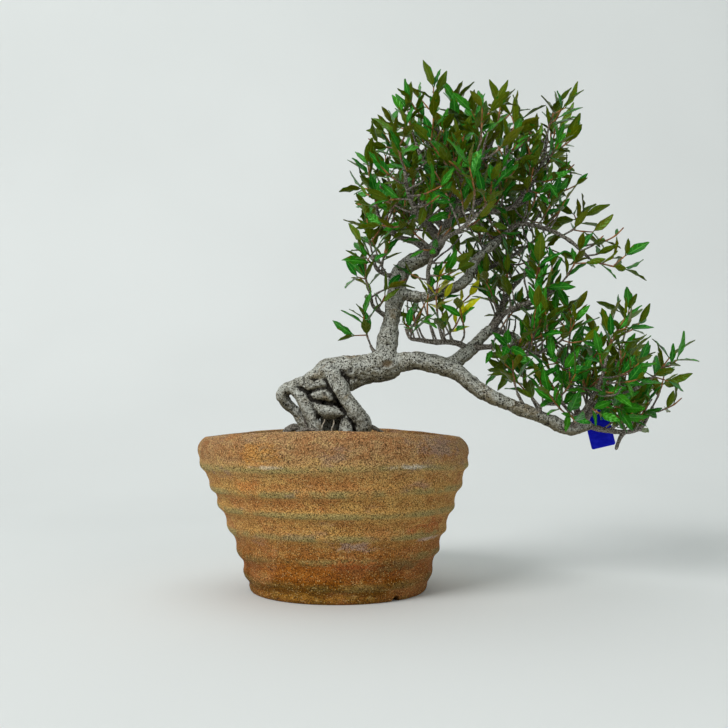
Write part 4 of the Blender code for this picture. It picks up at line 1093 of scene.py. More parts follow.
class Finish:
    """A node material. Its patterns are laid out in millimetres in the object's own space."""

    def __init__(self, name, **values):
        self.material = bpy.data.materials.new(name)
        self.material.use_nodes = True
        self.tree = self.material.node_tree
        self.shader = self.tree.nodes["Principled BSDF"]
        own = self.add("ShaderNodeTexCoord")
        self.uv = own.outputs["UV"]
        self.place = self.vector("SCALE", {0: own.outputs["Object"], "Scale": 1 / MM})
        for key, value in values.items():
            self.put(self.shader.inputs[key.replace("_", " ")], value)

    def add(self, kind, inputs=None, **settings):
        """A new node with its settings, and its inputs set or linked."""
        node = self.tree.nodes.new(kind)
        for key, value in settings.items():
            setattr(node, key, value)
        for key, value in (inputs or {}).items():
            self.put(node.inputs[key], value)
        return node

    def put(self, socket, value):
        if isinstance(value, bpy.types.NodeSocket):
            self.tree.links.new(value, socket)
        else:
            socket.default_value = value

    def vector(self, operation, inputs, output=0):
        return self.add("ShaderNodeVectorMath", inputs, operation=operation).outputs[output]

    def math(self, operation, a, b=0.0, c=0.0):
        return self.add("ShaderNodeMath", {0: a, 1: b, 2: c}, operation=operation).outputs[0]

    def times(self, a, b):
        return self.math("MULTIPLY", a, b)

    def part(self, axis, vector=None):
        """One coordinate of the place, or of another vector."""
        return self.add("ShaderNodeSeparateXYZ", {0: vector or self.place}).outputs[axis]

    def value(self, name):
        """A number that each point of the mesh carries."""
        return self.add("ShaderNodeAttribute", attribute_name=name).outputs["Fac"]

    def stretched(self, scale):
        """The place with its axes scaled, to flatten a pattern."""
        return self.add("ShaderNodeMapping", {"Vector": self.place, "Scale": scale}).outputs[0]

    def noise(self, size, detail, roughness, vector=None, warp=0.0):
        """Cloudy noise whose blotches are about the size apart."""
        inputs = {"Vector": vector or self.place, "Scale": 1 / size, "Detail": detail}
        inputs.update({"Roughness": roughness, "Distortion": warp})
        return self.add("ShaderNodeTexNoise", inputs).outputs["Fac"]

    def specks(self, size, edge, chosen):
        """1 on round specks about the size apart: each has a tone, and the span of tones chooses some."""
        found = self.add("ShaderNodeTexVoronoi", {"Vector": self.place, "Scale": 1 / size}).outputs
        tone = self.part(0, found["Color"])
        return self.times(self.span(found["Distance"], *edge), self.span(tone, *chosen))

    def span(self, value, low, high, start=0.0, end=1.0):
        """The value carried from low..high to start..end, and held at the ends."""
        inputs = {"Value": value, "From Min": low, "From Max": high, "To Min": start, "To Max": end}
        return self.add("ShaderNodeMapRange", inputs, interpolation_type="SMOOTHSTEP").outputs["Result"]

    def mix(self, share, a, b, blend="MIX"):
        """Colour a with a share of colour b."""
        node = self.add("ShaderNodeMix", data_type="RGBA", blend_type=blend)
        for socket, value in zip((node.inputs[0], node.inputs[6], node.inputs[7]), (share, a, b)):
            self.put(socket, (*value, 1.0) if isinstance(value, tuple) and len(value) == 3 else value)
        return node.outputs[2]

    def laid(self, colour, *layers):
        """The colour with others over it: each layer is a share, or a span of a value, and then a colour."""
        for *amount, tone in layers:
            share = self.span(*amount) if len(amount) > 1 else amount[0]
            colour = self.mix(share, colour, tone)
        return colour

    def bump(self, height, distance, strength=1.0):
        """Relief: height 0..1 stands for the distance in millimetres."""
        inputs = {"Height": height, "Distance": distance * MM, "Strength": strength}
        return self.add("ShaderNodeBump", inputs).outputs["Normal"]

    def made(self, colour, roughness=None, normal=None):
        """The material, once its colour, roughness and relief are on the shader."""
        for socket, value in (("Base Color", colour), ("Roughness", roughness), ("Normal", normal)):
            if value is not None:
                self.put(self.shader.inputs[socket], value)
        return self.material


def clay_finish():
    """Unglazed sandy clay: brown, olive on the crests, with stains and bloom; painted shade and a painted red
    reflection from below darken and redden it towards the foot.
    """
    clay = Finish("unglazed_clay", Specular_IOR_Level=0.12)
    z, crest = clay.part(2), clay.value("crest")
    banded = clay.stretched((1, 1, 1.9))
    broad = clay.noise(24, 3, 0.6, banded, warp=0.5)
    patch = clay.noise(8, 4, 0.62, banded, warp=0.4)
    # Darker, redder clay in the hollows between the ridges, in patches: partly the clay's own colour, partly
    # painted shade below each crest.
    hollow_shade = clay.times(clay.span(crest, 0.2, -0.8), clay.span(patch, 0.60, 0.38, 0.05, 0.6))
    khaki = clay.times(clay.span(crest, 0.1, 0.95), clay.span(clay.noise(11, 4, 0.65), 0.32, 0.56))
    khaki = clay.times(khaki, clay.span(z, 8, 30, 0.55, 0.82))
    # The olive of the crests turns darker low down: painted shade.
    khaki_tone = clay.laid((0.120, 0.098, 0.026), (z, 12, 30, (0.262, 0.226, 0.090)))
    violet = clay.span(clay.noise(19, 4, 0.62, clay.stretched((1, 1, 2.4))), 0.57, 0.70, 0.0, 0.5)
    violet = clay.times(violet, clay.span(z, 12, 40))
    # Its first two layers, darker and redder towards the foot, are painted shade and a painted red reflection
    # from below.
    colour = clay.laid(
        (0.128, 0.058, 0.001),
        (z, 0, 18, (0.205, 0.055, 0.002)),
        (z, 14, 38, (0.425, 0.243, 0.074)),
        (z, 50, 74, (0.345, 0.216, 0.106)),
        (broad, 0.48, 0.66, 0.0, 0.6, (0.370, 0.160, 0.055)),
        (patch, 0.52, 0.70, 0.0, 0.5, (0.450, 0.290, 0.095)),
        (hollow_shade, (0.270, 0.105, 0.030)),
        (khaki, khaki_tone),
        (violet, (0.270, 0.180, 0.145)),
    )
    ragged = clay.math("SUBTRACT", clay.noise(5, 5, 0.7, banded, warp=0.5), 0.5)
    for middle, reach, tone in STAINS:
        offset = clay.vector("DIVIDE", {0: clay.vector("SUBTRACT", {0: clay.place, 1: middle}), 1: reach})
        away = clay.math("MULTIPLY_ADD", ragged, 5.0, clay.vector("LENGTH", {0: offset}, "Value"))
        colour = clay.laid(colour, (away, 1.4, 0.2, 0.0, 0.62, tone))
    sand = clay.noise(0.52, 2, 0.65)
    shade = clay.laid((0.34, 0.30, 0.26), (sand, 0.36, 0.66, (1.76, 1.70, 1.60)))
    light = clay.specks(0.72, (0.38, 0.22), (0.70, 0.74))
    pits = clay.specks(0.85, (0.36, 0.22), (0.68, 0.72))
    colour = clay.laid(
        clay.mix(0.9, colour, shade, "MULTIPLY"),
        (clay.times(light, 0.85), (0.700, 0.490, 0.200)),
        (clay.times(pits, 0.95), (0.030, 0.013, 0.006)),
    )
    relief = clay.math("SUBTRACT", clay.math("MULTIPLY_ADD", light, 0.4, sand), pits)
    return clay.made(colour, clay.span(sand, 0.3, 0.7, 0.95, 0.75), clay.bump(relief, 0.42, 0.9))


def earth_finish():
    """Dark potting earth with paler grit in it."""
    earth = Finish("potting_earth", Specular_IOR_Level=0.2)
    grit = earth.span(earth.noise(1.1, 2, 0.6), 0.58, 0.68)
    colour = earth.laid(
        (0.030, 0.019, 0.012),
        (earth.noise(4, 4, 0.7), 0.35, 0.65, (0.095, 0.062, 0.038)),
        (grit, (0.20, 0.155, 0.105)),
    )
    return earth.made(colour, earth.span(grit, 0, 1, 0.96, 0.8), earth.bump(earth.noise(0.8, 3, 0.7), 0.5))


def granule_finish():
    """Grains of grit, each with a tone of its own, from dark brown to pale ochre."""
    grain = Finish("soil_granules", Specular_IOR_Level=0.25)
    tone = grain.value("tone")
    colour = grain.laid(
        (0.055, 0.034, 0.020),
        (tone, 0.2, 0.8, (0.225, 0.150, 0.085)),
        (tone, 0.86, 0.9, (0.34, 0.30, 0.25)),
        (grain.noise(0.5, 3, 0.7), 0.45, 0.65, 0.0, 0.6, (0.035, 0.022, 0.015)),
    )
    return grain.made(colour, grain.span(tone, 0, 1, 0.95, 0.8), grain.bump(grain.noise(0.35, 2, 0.6), 0.15))


def bark_finish():
    """Grey bark thick with dark flecks and pits, paler on its crests and stained ochre in places, with
    painted shade on the faces that look down and in the creases between roots.
    """
    bark = Finish("pitted_bark", Specular_IOR_Level=0.2)
    broad = bark.noise(5, 4, 0.6)
    fine = bark.noise(0.7, 4, 0.7)
    facing = bark.part(2, bark.add("ShaderNodeNewGeometry").outputs["Normal"])
    # Painted shade: darker and ochre on the faces that look down.
    below = bark.times(bark.span(facing, 0.2, -0.7, 0.0, 0.85), bark.span(broad, 0.30, 0.50, 0.3, 1.0))
    pits = bark.span(fine, 0.43, 0.35, 0.0, 0.75)
    for size, edge, chosen in ((0.8, (0.46, 0.32), (0.54, 0.60)), (1.3, (0.42, 0.30), (0.78, 0.82))):
        pits = bark.math("MAXIMUM", bark.specks(size, edge, chosen), pits)
    colour = bark.laid(
        (0.250, 0.240, 0.190),
        (broad, 0.34, 0.66, (0.430, 0.435, 0.385)),
        (fine, 0.50, 0.60, 0.0, 0.9, (0.680, 0.680, 0.615)),
        (bark.noise(13, 3, 0.6, warp=0.8), 0.54, 0.68, 0.0, 0.6, (0.270, 0.185, 0.080)),
        (below, (0.150, 0.120, 0.055)),
        (bark.times(pits, 0.96), (0.024, 0.019, 0.013)),
        (bark.value("wound"), 0.1, 0.8, 0.0, 0.85, (0.120, 0.070, 0.024)),
        # Painted shade, near-black, in the creases between roots and boughs and in the carved pits.
        (bark.value("hollow_shade"), 0.1, 0.7, 0.0, 0.96, (0.012, 0.009, 0.006)),
    )
    relief = bark.math("MULTIPLY_ADD", fine, 0.7, bark.times(broad, 0.4))
    normal = bark.bump(bark.math("SUBTRACT", relief, pits), 0.5, 0.9)
    return bark.made(colour, bark.span(fine, 0.3, 0.7, 0.92, 0.78), normal)


def stem_finish():
    """Thin wood: grey-brown with pale flecks where old, orange-brown and smoother where young."""
    stem = Finish("shoot_bark", Specular_IOR_Level=0.3)
    youth = stem.value("youth")
    fine = stem.noise(0.7, 3, 0.65)
    old = stem.laid((0.052, 0.040, 0.028), (fine, 0.4, 0.65, (0.340, 0.310, 0.265)))
    young = stem.laid((0.130, 0.046, 0.012), (stem.noise(2.5, 3, 0.6), 0.35, 0.65, (0.420, 0.170, 0.046)))
    pits = stem.specks(0.8, (0.36, 0.22), (0.6, 0.64))
    dark = stem.times(pits, stem.span(youth, 1.0, 0.4))
    colour = stem.laid(old, (youth, 0.3, 0.8, young), (dark, (0.022, 0.014, 0.008)))
    normal = stem.bump(stem.math("SUBTRACT", fine, pits), 0.2, 0.8)
    return stem.made(colour, stem.span(youth, 0, 1, 0.85, 0.5), normal)


def hair_finish():
    """Pale root hairs, a little earthy."""
    hair = Finish("root_hair", Roughness=0.8, Specular_IOR_Level=0.2)
    return hair.made(hair.laid((0.58, 0.53, 0.44), (hair.noise(1.2, 2, 0.5), 0.4, 0.6, (0.36, 0.30, 0.22))))


def leaf_finish():
    """Small crinkled leaves: glossy deep green above with paler veins and rib, partly a painted highlight
    along the fold, olive and duller below.
    """
    tint = (0.35, 1.0, 0.25, 1)
    green = Finish("crinkled_leaf", Roughness=0.29, Specular_IOR_Level=0.5, Specular_Tint=tint)
    tone, age = green.value("tone"), green.value("age")
    along, aside = green.part(0, green.uv), green.part(1, green.uv)
    off_rib = green.math("ABSOLUTE", green.math("MULTIPLY_ADD", aside, 2.0, -1.0))
    slant = green.math("MULTIPLY_ADD", off_rib, -0.16, along)
    veins = green.span(green.math("SINE", green.times(slant, 31.0)), 0.86, 1.0)
    rib = green.span(off_rib, 0.17, 0.04)
    lines = green.math("MAXIMUM", green.times(veins, 0.45), rib)
    above = green.laid(
        green.mix(tone, (0.001, 0.112, 0.006), (0.034, 0.215, 0.002)),
        (green.noise(2.6, 3, 0.6), 0.4, 0.7, 0.0, 0.55, (0.001, 0.050, 0.002)),
        # Pale rib and vein lines above: partly the leaf's own paler veins, partly a painted highlight along
        # the fold.
        (green.times(lines, 0.62), (0.110, 0.480, 0.050)),
        (age, 0.84, 0.93, 0.0, 0.6, (0.130, 0.095, 0.004)),
        (age, 0.965, 0.975, (0.520, 0.500, 0.006)),
    )
    below = green.laid(
        (0.084, 0.116, 0.001),
        (green.times(lines, 0.5), (0.215, 0.255, 0.012)),
        (age, 0.55, 0.9, 0.0, 0.5, (0.150, 0.108, 0.004)),
        (age, 0.965, 0.975, (0.480, 0.470, 0.010)),
    )
    quilt = green.math("ABSOLUTE", green.math("SINE", green.times(slant, 15.5)))
    relief = green.math("SUBTRACT", green.times(quilt, 0.5), green.times(rib, 0.6))
    relief = green.math("MULTIPLY_ADD", green.noise(0.8, 2, 0.5), 0.5, relief)
    colour = green.mix(green.value("underside"), above, below)
    return green.made(colour, normal=green.bump(relief, 0.35, 0.8))


def tag_finish():
    """Blue plastic, a little scuffed."""
    blue = Finish("blue_plastic", Specular_IOR_Level=0.4, Specular_Tint=(0.2, 0.3, 1.0, 1))
    scuff = blue.noise(5, 4, 0.7, blue.stretched((1, 1, 2.5)))
    colour = blue.laid((0.001, 0.001, 0.480), (scuff, 0.4, 0.7, (0.010, 0.014, 0.620)))
    normal = blue.bump(blue.noise(0.4, 2, 0.5), 0.03)
    return blue.made(colour, blue.span(scuff, 0.35, 0.7, 0.36, 0.55), normal)


def wire_finish():
    """Thin bare wire, dulled in patches."""
    wire = Finish("tag_wire_metal", Metallic=1.0)
    dull = wire.noise(1.5, 3, 0.6)
    colour = wire.laid((0.52, 0.51, 0.49), (dull, 0.4, 0.65, (0.30, 0.28, 0.25)))
    return wire.made(colour, wire.span(dull, 0.4, 0.65, 0.28, 0.5))


def floor_finish():
    """Pale, plain and a little uneven in tone."""
    pale = Finish("pale_floor", Roughness=0.9)
    return pale.made(pale.laid((0.74, 0.76, 0.75), (pale.noise(400, 2, 0.5), 0.3, 0.7, (0.77, 0.79, 0.78))))


def soft_limit(value, most, width=0.25):
    """The value held below the most, by value - (d + the root of d^2 + width^2) / 2, d past the most."""
    past = value - most
    return value - 0.5 * (past + np.sqrt(past**2 + width**2))


def crest_wave(z, angle):
    """1 on a crest and -1 in a trough, by the cosine of a phase that gains half a turn from each level
    of the ridges to the next. The levels waver round the pot by a sine and by slow lumps."""
    levels = ridge_levels()
    levels[1::2] += HOLLOW_RISE
    levels = np.append(levels[0] - 5.4, levels)
    phase = np.pi * (np.arange(len(levels)) - 1)
    around = np.column_stack((60 * np.cos(angle), 60 * np.sin(angle), z))
    rough = np.interp(z, levels, phase) / np.pi
    z = z - RIDGE_WAVER * np.sin(angle + 0.9 * rough) - 0.7 * lumps(around, 32, 10)
    phase = np.interp(z, levels, phase)
    depth = 0.85 + 0.4 * lumps(around, 24, 11)
    return (np.cos(phase) + 0.16 * np.cos(2 * phase)) * depth


def worn_rings(rings, rim):
    """The pot's rings, and their middles, after wear: lumps of three sizes move each point in or out, no
    further than the widest that the pot may be, and lumps of two sizes lift the lip."""
    middle = rings[:, :, :2].mean(axis=1, keepdims=True)
    flat = rings.reshape(-1, 3)
    wear = layered_lumps(flat, (0.30, 13, 1), (0.14, 4.2, 2), (0.06, 1.5, 3))
    out = rings[:, :, :2] - middle
    reach = np.linalg.norm(out, axis=2, keepdims=True)
    steady = np.clip((flat[:, 2] - FOOT_LEVEL) / 1.2, 0, 1).reshape(reach.shape)
    worn = soft_limit(reach + wear.reshape(reach.shape) * steady, WIDEST)
    rings[:, :, :2] = middle + out / reach * worn
    lip_top = np.clip((rings[:, :, 2] - rim[None]) + 2.0, 0, 2.0) / 2.0
    rings[:, :, 2] += layered_lumps(flat, (0.22, 9, 4), (0.08, 2.2, 5)).reshape(lip_top.shape) * lip_top
    return rings, middle


def cut_drains(made):
    """Cuts the drain holes and their grooves out of the pot."""
    cutters = bpy.data.collections.new("pot_cutters")
    for solid in drain_cutters():
        cutters.objects.link(bpy.data.objects.new("cutter", mesh_of("cutter", solid)))
    cut = made.modifiers.new("drains", "BOOLEAN")
    cut.operation = "DIFFERENCE"
    cut.operand_type = "COLLECTION"
    cut.collection = cutters
    cut.solver = "MANIFOLD"
    applied(made)
    for cutter in list(cutters.objects):
        bpy.data.objects.remove(cutter)
    bpy.data.collections.remove(cutters)
    made.data.shade_smooth()
    made.data.set_sharp_from_angle(angle=SHARP_ANGLE)


def fine_pot(clay):
    """The pot: up the ridged wall, over the lip by its curve, and down inside to the floor."""
    angle = np.arange(POT_AROUND) * 2 * np.pi / POT_AROUND
    rim = rim_height(angle)
    top = rim - LIP_ROUND
    foot_top = FOOT_LEVEL + FOOT_CURVE[-1][1]
    rings = []
    for inward, above in FOOT_CURVE:
        level = np.full(POT_AROUND, FOOT_LEVEL + above)
        rings.append(ring(wall_radius(level) - inward, level, angle))
    for share in np.linspace(0, 1, WALL_STEPS)[1:]:
        z = foot_top + (top - foot_top) * share
        fade = np.clip((z - FOOT_LEVEL - FOOT_HEIGHT) / 1.6, 0, 1) * np.clip((RIDGES_END - z) / 4.0, 0, 1)
        rings.append(ring(wall_radius(z) + RIDGE_DEPTH * crest_wave(z, angle) * fade, z, angle))
    outer = wall_radius(top)
    lip = np.array(LIP_CURVE)
    for step in np.linspace(0, len(lip) - 1, 4 * len(lip))[1:]:
        inward, below = (np.interp(step, np.arange(len(lip)), column) for column in lip.T)
        rings.append(ring(outer - inward, rim - below, angle))
    for z in np.linspace(rim.min() - 6, FLOOR, INSIDE_STEPS):
        level = np.full(POT_AROUND, z)
        rings.append(ring(wall_radius(level) - WALL, level, angle))
    rings, middle = worn_rings(np.array(rings), rim)
    solid = closed_by_poles(rings, UP * FOOT_LEVEL, np.array((*middle[-1, 0], FLOOR)))
    made = piece("pot_clay", solid, clay, "clay", ("pot",))
    cut_drains(made)
    points = points_of(made.data)
    lean = POT_LEAN * (points[:, 2] / LEAN_HEIGHT) ** 2
    turn = np.arctan2(points[:, 1], points[:, 0] - lean)
    reach = np.hypot(points[:, 1], points[:, 0] - lean)
    outside = np.clip((reach - wall_radius(points[:, 2]) + 4.0) / 2.0, 0, 1)
    put_attribute(made.data, "crest", crest_wave(points[:, 2], turn) * outside)


def drain_cutters():
    """A round hole through the floor and a groove out to the edge of the foot, at each drain."""
    cutters = []
    for k in range(DRAIN_COUNT):
        angle = DRAIN_FIRST_ANGLE + k * 2 * np.pi / DRAIN_COUNT
        out = np.array((np.cos(angle), np.sin(angle), 0.0))
        middle = out * DRAIN_FROM_MIDDLE
        hole = np.array((middle - UP * 5, middle + UP * (FLOOR + 5)))
        cutters.append(tube(np.column_stack((hole, (DRAIN_RADIUS,) * 2)), 32))
        corner = GROOVE_WIDTH / 2 * np.sqrt(2)
        height = FOOT_LEVEL + GROOVE_DEPTH - GROOVE_WIDTH / 2
        path = np.array((middle + UP * height, out * (WALL_PROFILE[0][1] + 12) + UP * height))
        cutters.append(tube(np.column_stack((path, (corner, corner))), 12))
    return cutters


def soil_reach():
    """How far from the pot's axis the soil's edge is: just inside the wall."""
    return wall_radius(SOIL_EDGE) - WALL - 0.25


def fine_soil(earth):
    """The earth's bed: a disc of rings over a plug."""
    angle = np.arange(SOIL_AROUND) * 2 * np.pi / SOIL_AROUND
    rings = []
    for z in (FLOOR + 0.2, 28.0, 60.0):
        level = np.full(SOIL_AROUND, z)
        rings.append(ring(wall_radius(level) - WALL - 0.3, level, angle))
    for share in np.linspace(1.0, 0.02, SOIL_STEPS):
        level = np.full(SOIL_AROUND, SOIL_EDGE)
        flat = ring(level * 0 + soil_reach() * share, level, angle)
        flat[:, 2] = soil_height(flat[:, 0], flat[:, 1])
        flat[:, 2] += layered_lumps(flat, (0.7, 3.6, 7), (0.35, 1.5, 8))
        rings.append(flat)
    rings = np.array(rings)
    solid = closed_by_poles(rings, rings[0].mean(0), rings[-1].mean(0))
    piece("soil_bed", solid, earth, "soil", ("soil",))


def soil_grit(grain_finish):
    """Loose granules strewn over the soil: lumpy balls, flattened and turned."""
    rng = np.random.default_rng(41)
    rows, columns = 4, 7
    tilt = (np.arange(rows)[:, None] + 1) / (rows + 1) * np.pi
    turn = np.arange(columns) * 2 * np.pi / columns
    ball = np.stack((np.sin(tilt) * np.cos(turn), np.sin(tilt) * np.sin(turn), -np.cos(tilt) + 0 * turn), -1)
    reach = np.sqrt(rng.uniform(0, 1, GRANULES)) * (soil_reach() - 1.5)
    around = rng.uniform(0, 2 * np.pi, GRANULES)
    grains = Parts()
    for k in range(GRANULES):
        x, y = reach[k] * np.cos(around[k]) + POT_LEAN, reach[k] * np.sin(around[k])
        size = rng.uniform(*GRANULE_SIZE) / 2
        shape = np.array((1.0, rng.uniform(0.7, 1.0), rng.uniform(0.55, 0.85))) * size
        spin = rng.uniform(0, 2 * np.pi)
        points, faces = closed_by_poles(ball, -UP, UP)
        points = points * (1 + 0.22 * lumps(points + k * 7.3, 0.9, 9))[:, None] * shape
        flat = np.array(((np.cos(spin), -np.sin(spin), 0), (np.sin(spin), np.cos(spin), 0), (0, 0, 1)))
        place = np.array((x, y, soil_height(x, y) + size * 0.3))
        grains.add(points @ flat.T + place, faces, tone=rng.uniform())
    solid = grains.solid()
    piece("soil_grit", solid, grain_finish, "soil", sharp=GRAIN_SHARP_ANGLE, **grains.attributes())



def round_tube(route, sides, tip=1.0):
    """(points, faces) of a smooth closed tube; its end is drawn out to a point by the tip's share."""
    rings = corner_rings(route, sides)
    along = directions(route)
    start = route[0, :3] - along[0] * route[0, 3] * 0.5
    end = route[-1, :3] + along[-1] * route[-1, 3] * tip
    return closed_by_poles(rings, start, end)


def dense(route, step):
    """The route read at even steps of about the given length."""
    route = np.asarray(route, float)
    length = np.linalg.norm(np.diff(route[:, :3], axis=0), axis=1).sum()
    return smooth_route(route, max(4, int(length / step)))


def crease_value(points, routes):
    """1 in the groove between two roots or boughs that face each other, 0 away from it or in one wood."""
    rows = np.arange(len(points))
    reach, away = [], []
    for route in routes:
        line = dense(route, 1.5)
        squares = (points**2).sum(1)[:, None] + (line[:, :3] ** 2).sum(1) - 2 * points @ line[:, :3].T
        gap = np.sqrt(np.maximum(squares, 0)) - line[:, 3]
        nearest = gap.argmin(1)
        reach.append(gap[rows, nearest])
        toward = points - line[nearest, :3]
        away.append(toward / np.linalg.norm(toward, axis=1, keepdims=True))
    reach, away = np.array(reach), np.array(away)
    order = np.argsort(reach, axis=0)
    facing = (away[order[0], rows] * away[order[1], rows]).sum(1)
    return np.clip(1 - reach[order[1], rows] / CREASE_WIDTH, 0, 1) * np.clip(0.75 - facing, 0, 1)


def fine_wood(bark):
    """Roots, trunk and boughs in one skin: dense tubes, joined by a fine cubic mesh, and weathered."""
    tubes = Parts()
    for number, route in enumerate([*ROOTS.values(), *BOUGHS.values()]):
        line = dense(route, BOUGH_STEP)
        line[:, 3] = line[:, 3] * (1 + 0.09 * lumps(line[:, :3], 6.0, 20 + number)) + WOOD_GROWTH
        tubes.add(*round_tube(line, BOUGH_SIDES, 0.6))
    made = piece("weathered_wood", tubes.solid(), bark, "bark", ("trunk_and_branches",))
    remesh = made.modifiers.new("one_skin", "REMESH")
    remesh.mode = "VOXEL"
    remesh.voxel_size = WOOD_CELL * MM
    smooth = made.modifiers.new("smooth", "SMOOTH")
    smooth.factor = 0.5
    smooth.iterations = 2
    applied(made)
    mesh = made.data
    mesh.shade_smooth()
    points, normals = points_of(mesh), normals_of(mesh)
    crease = crease_value(points, [*ROOTS.values(), BOUGHS["trunk"]])
    along = lumps(points * np.array((0.55, 1.0, 0.45)), 2.2, 34)
    pits = np.clip(lumps(points, 1.7, 31) - 0.25, 0, 1)
    wear = layered_lumps(points, (0.40, 7, 30), (0.30, 3.0, 32), (0.22, 1.25, 33))
    middle, size, depth = WOUND
    wound = np.clip(1.3 - np.linalg.norm((points - middle) / size, axis=1), 0, 1)
    lip = np.exp(-(((wound - 0.25) / 0.2) ** 2)) * (wound > 0)
    wear = wear + 0.22 * along - 0.75 * pits - 1.3 * crease - depth * wound + 0.5 * lip
    above = np.clip((points[:, 2] - WEAR_FROM) / 6, 0, 1)
    set_points(mesh, points + normals * (wear * above)[:, None])
    # Painted shade: near-black in the creases between roots and boughs and in the carved pits.
    put_attribute(mesh, "hollow_shade", np.clip(crease * 1.2 + pits * 0.9, 0, 1))
    put_attribute(mesh, "wound", wound)
    mesh.materials.clear()
    mesh.materials.append(bark)


def ringed(values, sides):
    """A value for each point of a round tube from one for each ring, with 0 at its start and 1 at its end."""
    return np.concatenate(((0.0,), np.repeat(values, sides), (1.0,)))


def fine_branches(stems):
    """The branches: tapering tubes with a flare where they leave the bough, and knots at the nodes."""
    boughs = np.vstack([smooth_route(route, 60) for route in BOUGHS.values()])
    tubes = Parts()
    for number, (route, _) in enumerate(BRANCHES.values()):
        line = dense(rooted(route, boughs), BRANCH_STEP)
        run = np.append(0, np.cumsum(np.linalg.norm(np.diff(line[:, :3], axis=0), axis=1)))
        knots = 0.16 * np.exp(-(((run + number) % 9.0 - 4.5) / 1.1) ** 2)
        flare = 0.35 * np.exp(-run / 3.0)
        line[:, 3] *= 0.9 * (1 + knots + flare + 0.10 * lumps(line[:, :3], 2.5, 50 + number))
        points, faces = round_tube(line, BRANCH_SIDES)
        out = np.clip(run / max(run[-1], 1.0), 0, 1)
        tubes.add(points, faces, youth=ringed(out, BRANCH_SIDES) * 0.35)
        boughs = np.vstack((boughs, smooth_route(route, 30)))
    points, faces = tubes.solid()
    wood = ("trunk_and_branches",)
    mesh = piece("branch_wood", (points, faces), stems, "bark", wood, **tubes.attributes()).data
    set_points(mesh, points + normals_of(mesh) * (0.12 * lumps(points, 1.4, 61))[:, None])


def thin_roots(name, routes, finish):
    """Thin roots in one piece, as tapering tubes."""
    tubes = Parts()
    for route in routes:
        line = dense(route, THIN_ROOT_STEP)
        line[:, 3] *= 1 + 0.15 * lumps(line[:, :3], 2.0, 71)
        tubes.add(*round_tube(line, THIN_ROOT_SIDES), youth=0.0)
    piece(name, tubes.solid(), finish, "bark", **tubes.attributes())


def limbs_of(limb):
    """The limb and every limb that grows from it, and all their leaves."""
    limbs, leaves = [limb], []
    for grown in limb.grown.values():
        if isinstance(grown, Limb):
            more, others = limbs_of(grown)
            limbs += more
            leaves += others
        elif grown is not None:
            leaves.append(grown)
    return limbs, leaves


def front_sight(points):
    """(x, z) at which the front view's line of sight through each point meets the plane y = 0."""
    sight = np.atleast_2d(points) - FRONT_VIEW
    return FRONT_VIEW[[0, 2]] - sight[:, [0, 2]] / sight[:, 1:2] * FRONT_VIEW[1]


def within_crown(points):
    """Whether the front view sees every point inside the crown's outline, by counting edges crossed."""
    x, z = front_sight(points).T[:, :, None]
    ax, az = np.array(CROWN_OUTLINE).T
    bx, bz = np.roll((ax, az), -1, axis=1)
    flat = np.where(az == bz, 1e-9, bz - az)
    crossed = ((az > z) != (bz > z)) & (x < (bx - ax) * (z - az) / flat + ax)
    return bool((crossed.sum(1) % 2 == 1).all())


def inside_box(points):
    """Whether every point is inside the box that the sprays keep to."""
    return bool(np.all(points > BOX_LOW) and np.all(points < BOX_HIGH))


def spray_leaf(rng, space, owner, root, way, upper, size):
    """A leaf of a thin spray, if it is clear of all that is not its own."""
    length = rng.uniform(*LEAF_LENGTH) * size
    width = length * rng.uniform(*LEAF_WIDTH_SHARE)
    for _ in range(4):
        turned_way = unit(way + rng.normal(0, 0.14, 3))
        face = upper + rng.normal(0, 0.2, 3)
        grown = leaf(root, turned_way, face, length, width, rng.uniform(0.02, 0.16))
        points = blade(grown)[0]
        if inside_box(points) and within_crown(points[3:]):
            if space.free(outer_blade(grown, CLEAR_OF_STEM), skip=(owner,)):
                space.add(blade(grown), owner)
                return grown
        length *= 0.88
        width *= 0.88
    return None


def grow_spray(rng, space, name, branch, share):
    """A thin side spray: a stem that curves up to the light, bare below, with pairs of leaves above."""
    point, tangent, _ = at_share(branch, share)
    mass = LEAF_MASSES[np.argmin(np.linalg.norm(LEAF_MASSES - point, axis=1))]
    outward = unit(point - mass)
    for _ in range(8):
        wanted = outward * 0.55 + UP * 0.8 + rng.normal(0, 0.55, 3)
        heading = unit(unit(wanted - tangent * np.dot(wanted, tangent)) + tangent * 0.35)
        length = rng.uniform(*SPRAY_LENGTH)
        nodes = max(2, int(length / SPRAY_NODE))
        runs = (length / nodes,) * nodes
        start = point + heading * 0.3
        route = bent_stem(rng, start, heading, runs, SPRAY_RADIUS, 0.16)
        outer = route.copy()
        outer[0, :3] += heading * min(3.0, length / nodes * 0.8)
        if inside_box(route[:, :3]) and within_crown(route[1:, :3]) and space.free(tube(outer, 4)):
            break
    else:
        return None
    space.add(tube(outer, 4), name)
    leaves = []
    side = across(heading, rng.uniform(0, np.pi))
    first_pair = len(route) if rng.uniform() < SPRAY_BARE else max(1, len(route) - 3)
    for k in range(1, len(route)):
        axis = unit(route[k, :3] - route[k - 1, :3])
        side = unit(side - axis * np.dot(side, axis))
        out = side if k % 2 else np.cross(axis, side)
        if k < first_pair:
            continue
        spread = np.radians(24 if k == len(route) - 1 else 46)
        size = rng.uniform(0.8, 1.15)
        for sign in (1, -1):
            way = axis * np.cos(spread) + out * sign * np.sin(spread) + UP * 0.16
            upper = axis * np.sin(spread) - out * sign * np.cos(spread) + UP * 0.45
            corners = [unit(out * sign + turn * 0.6) * 0.3 for turn in (axis, -axis, UP)]
            root = route[k, :3] + np.array(corners)
            grown = spray_leaf(rng, space, name, root, unit(way), upper, size)
            if grown is not None:
                leaves.append(grown)
    return {"name": name, "stem": route, "leaves": leaves}


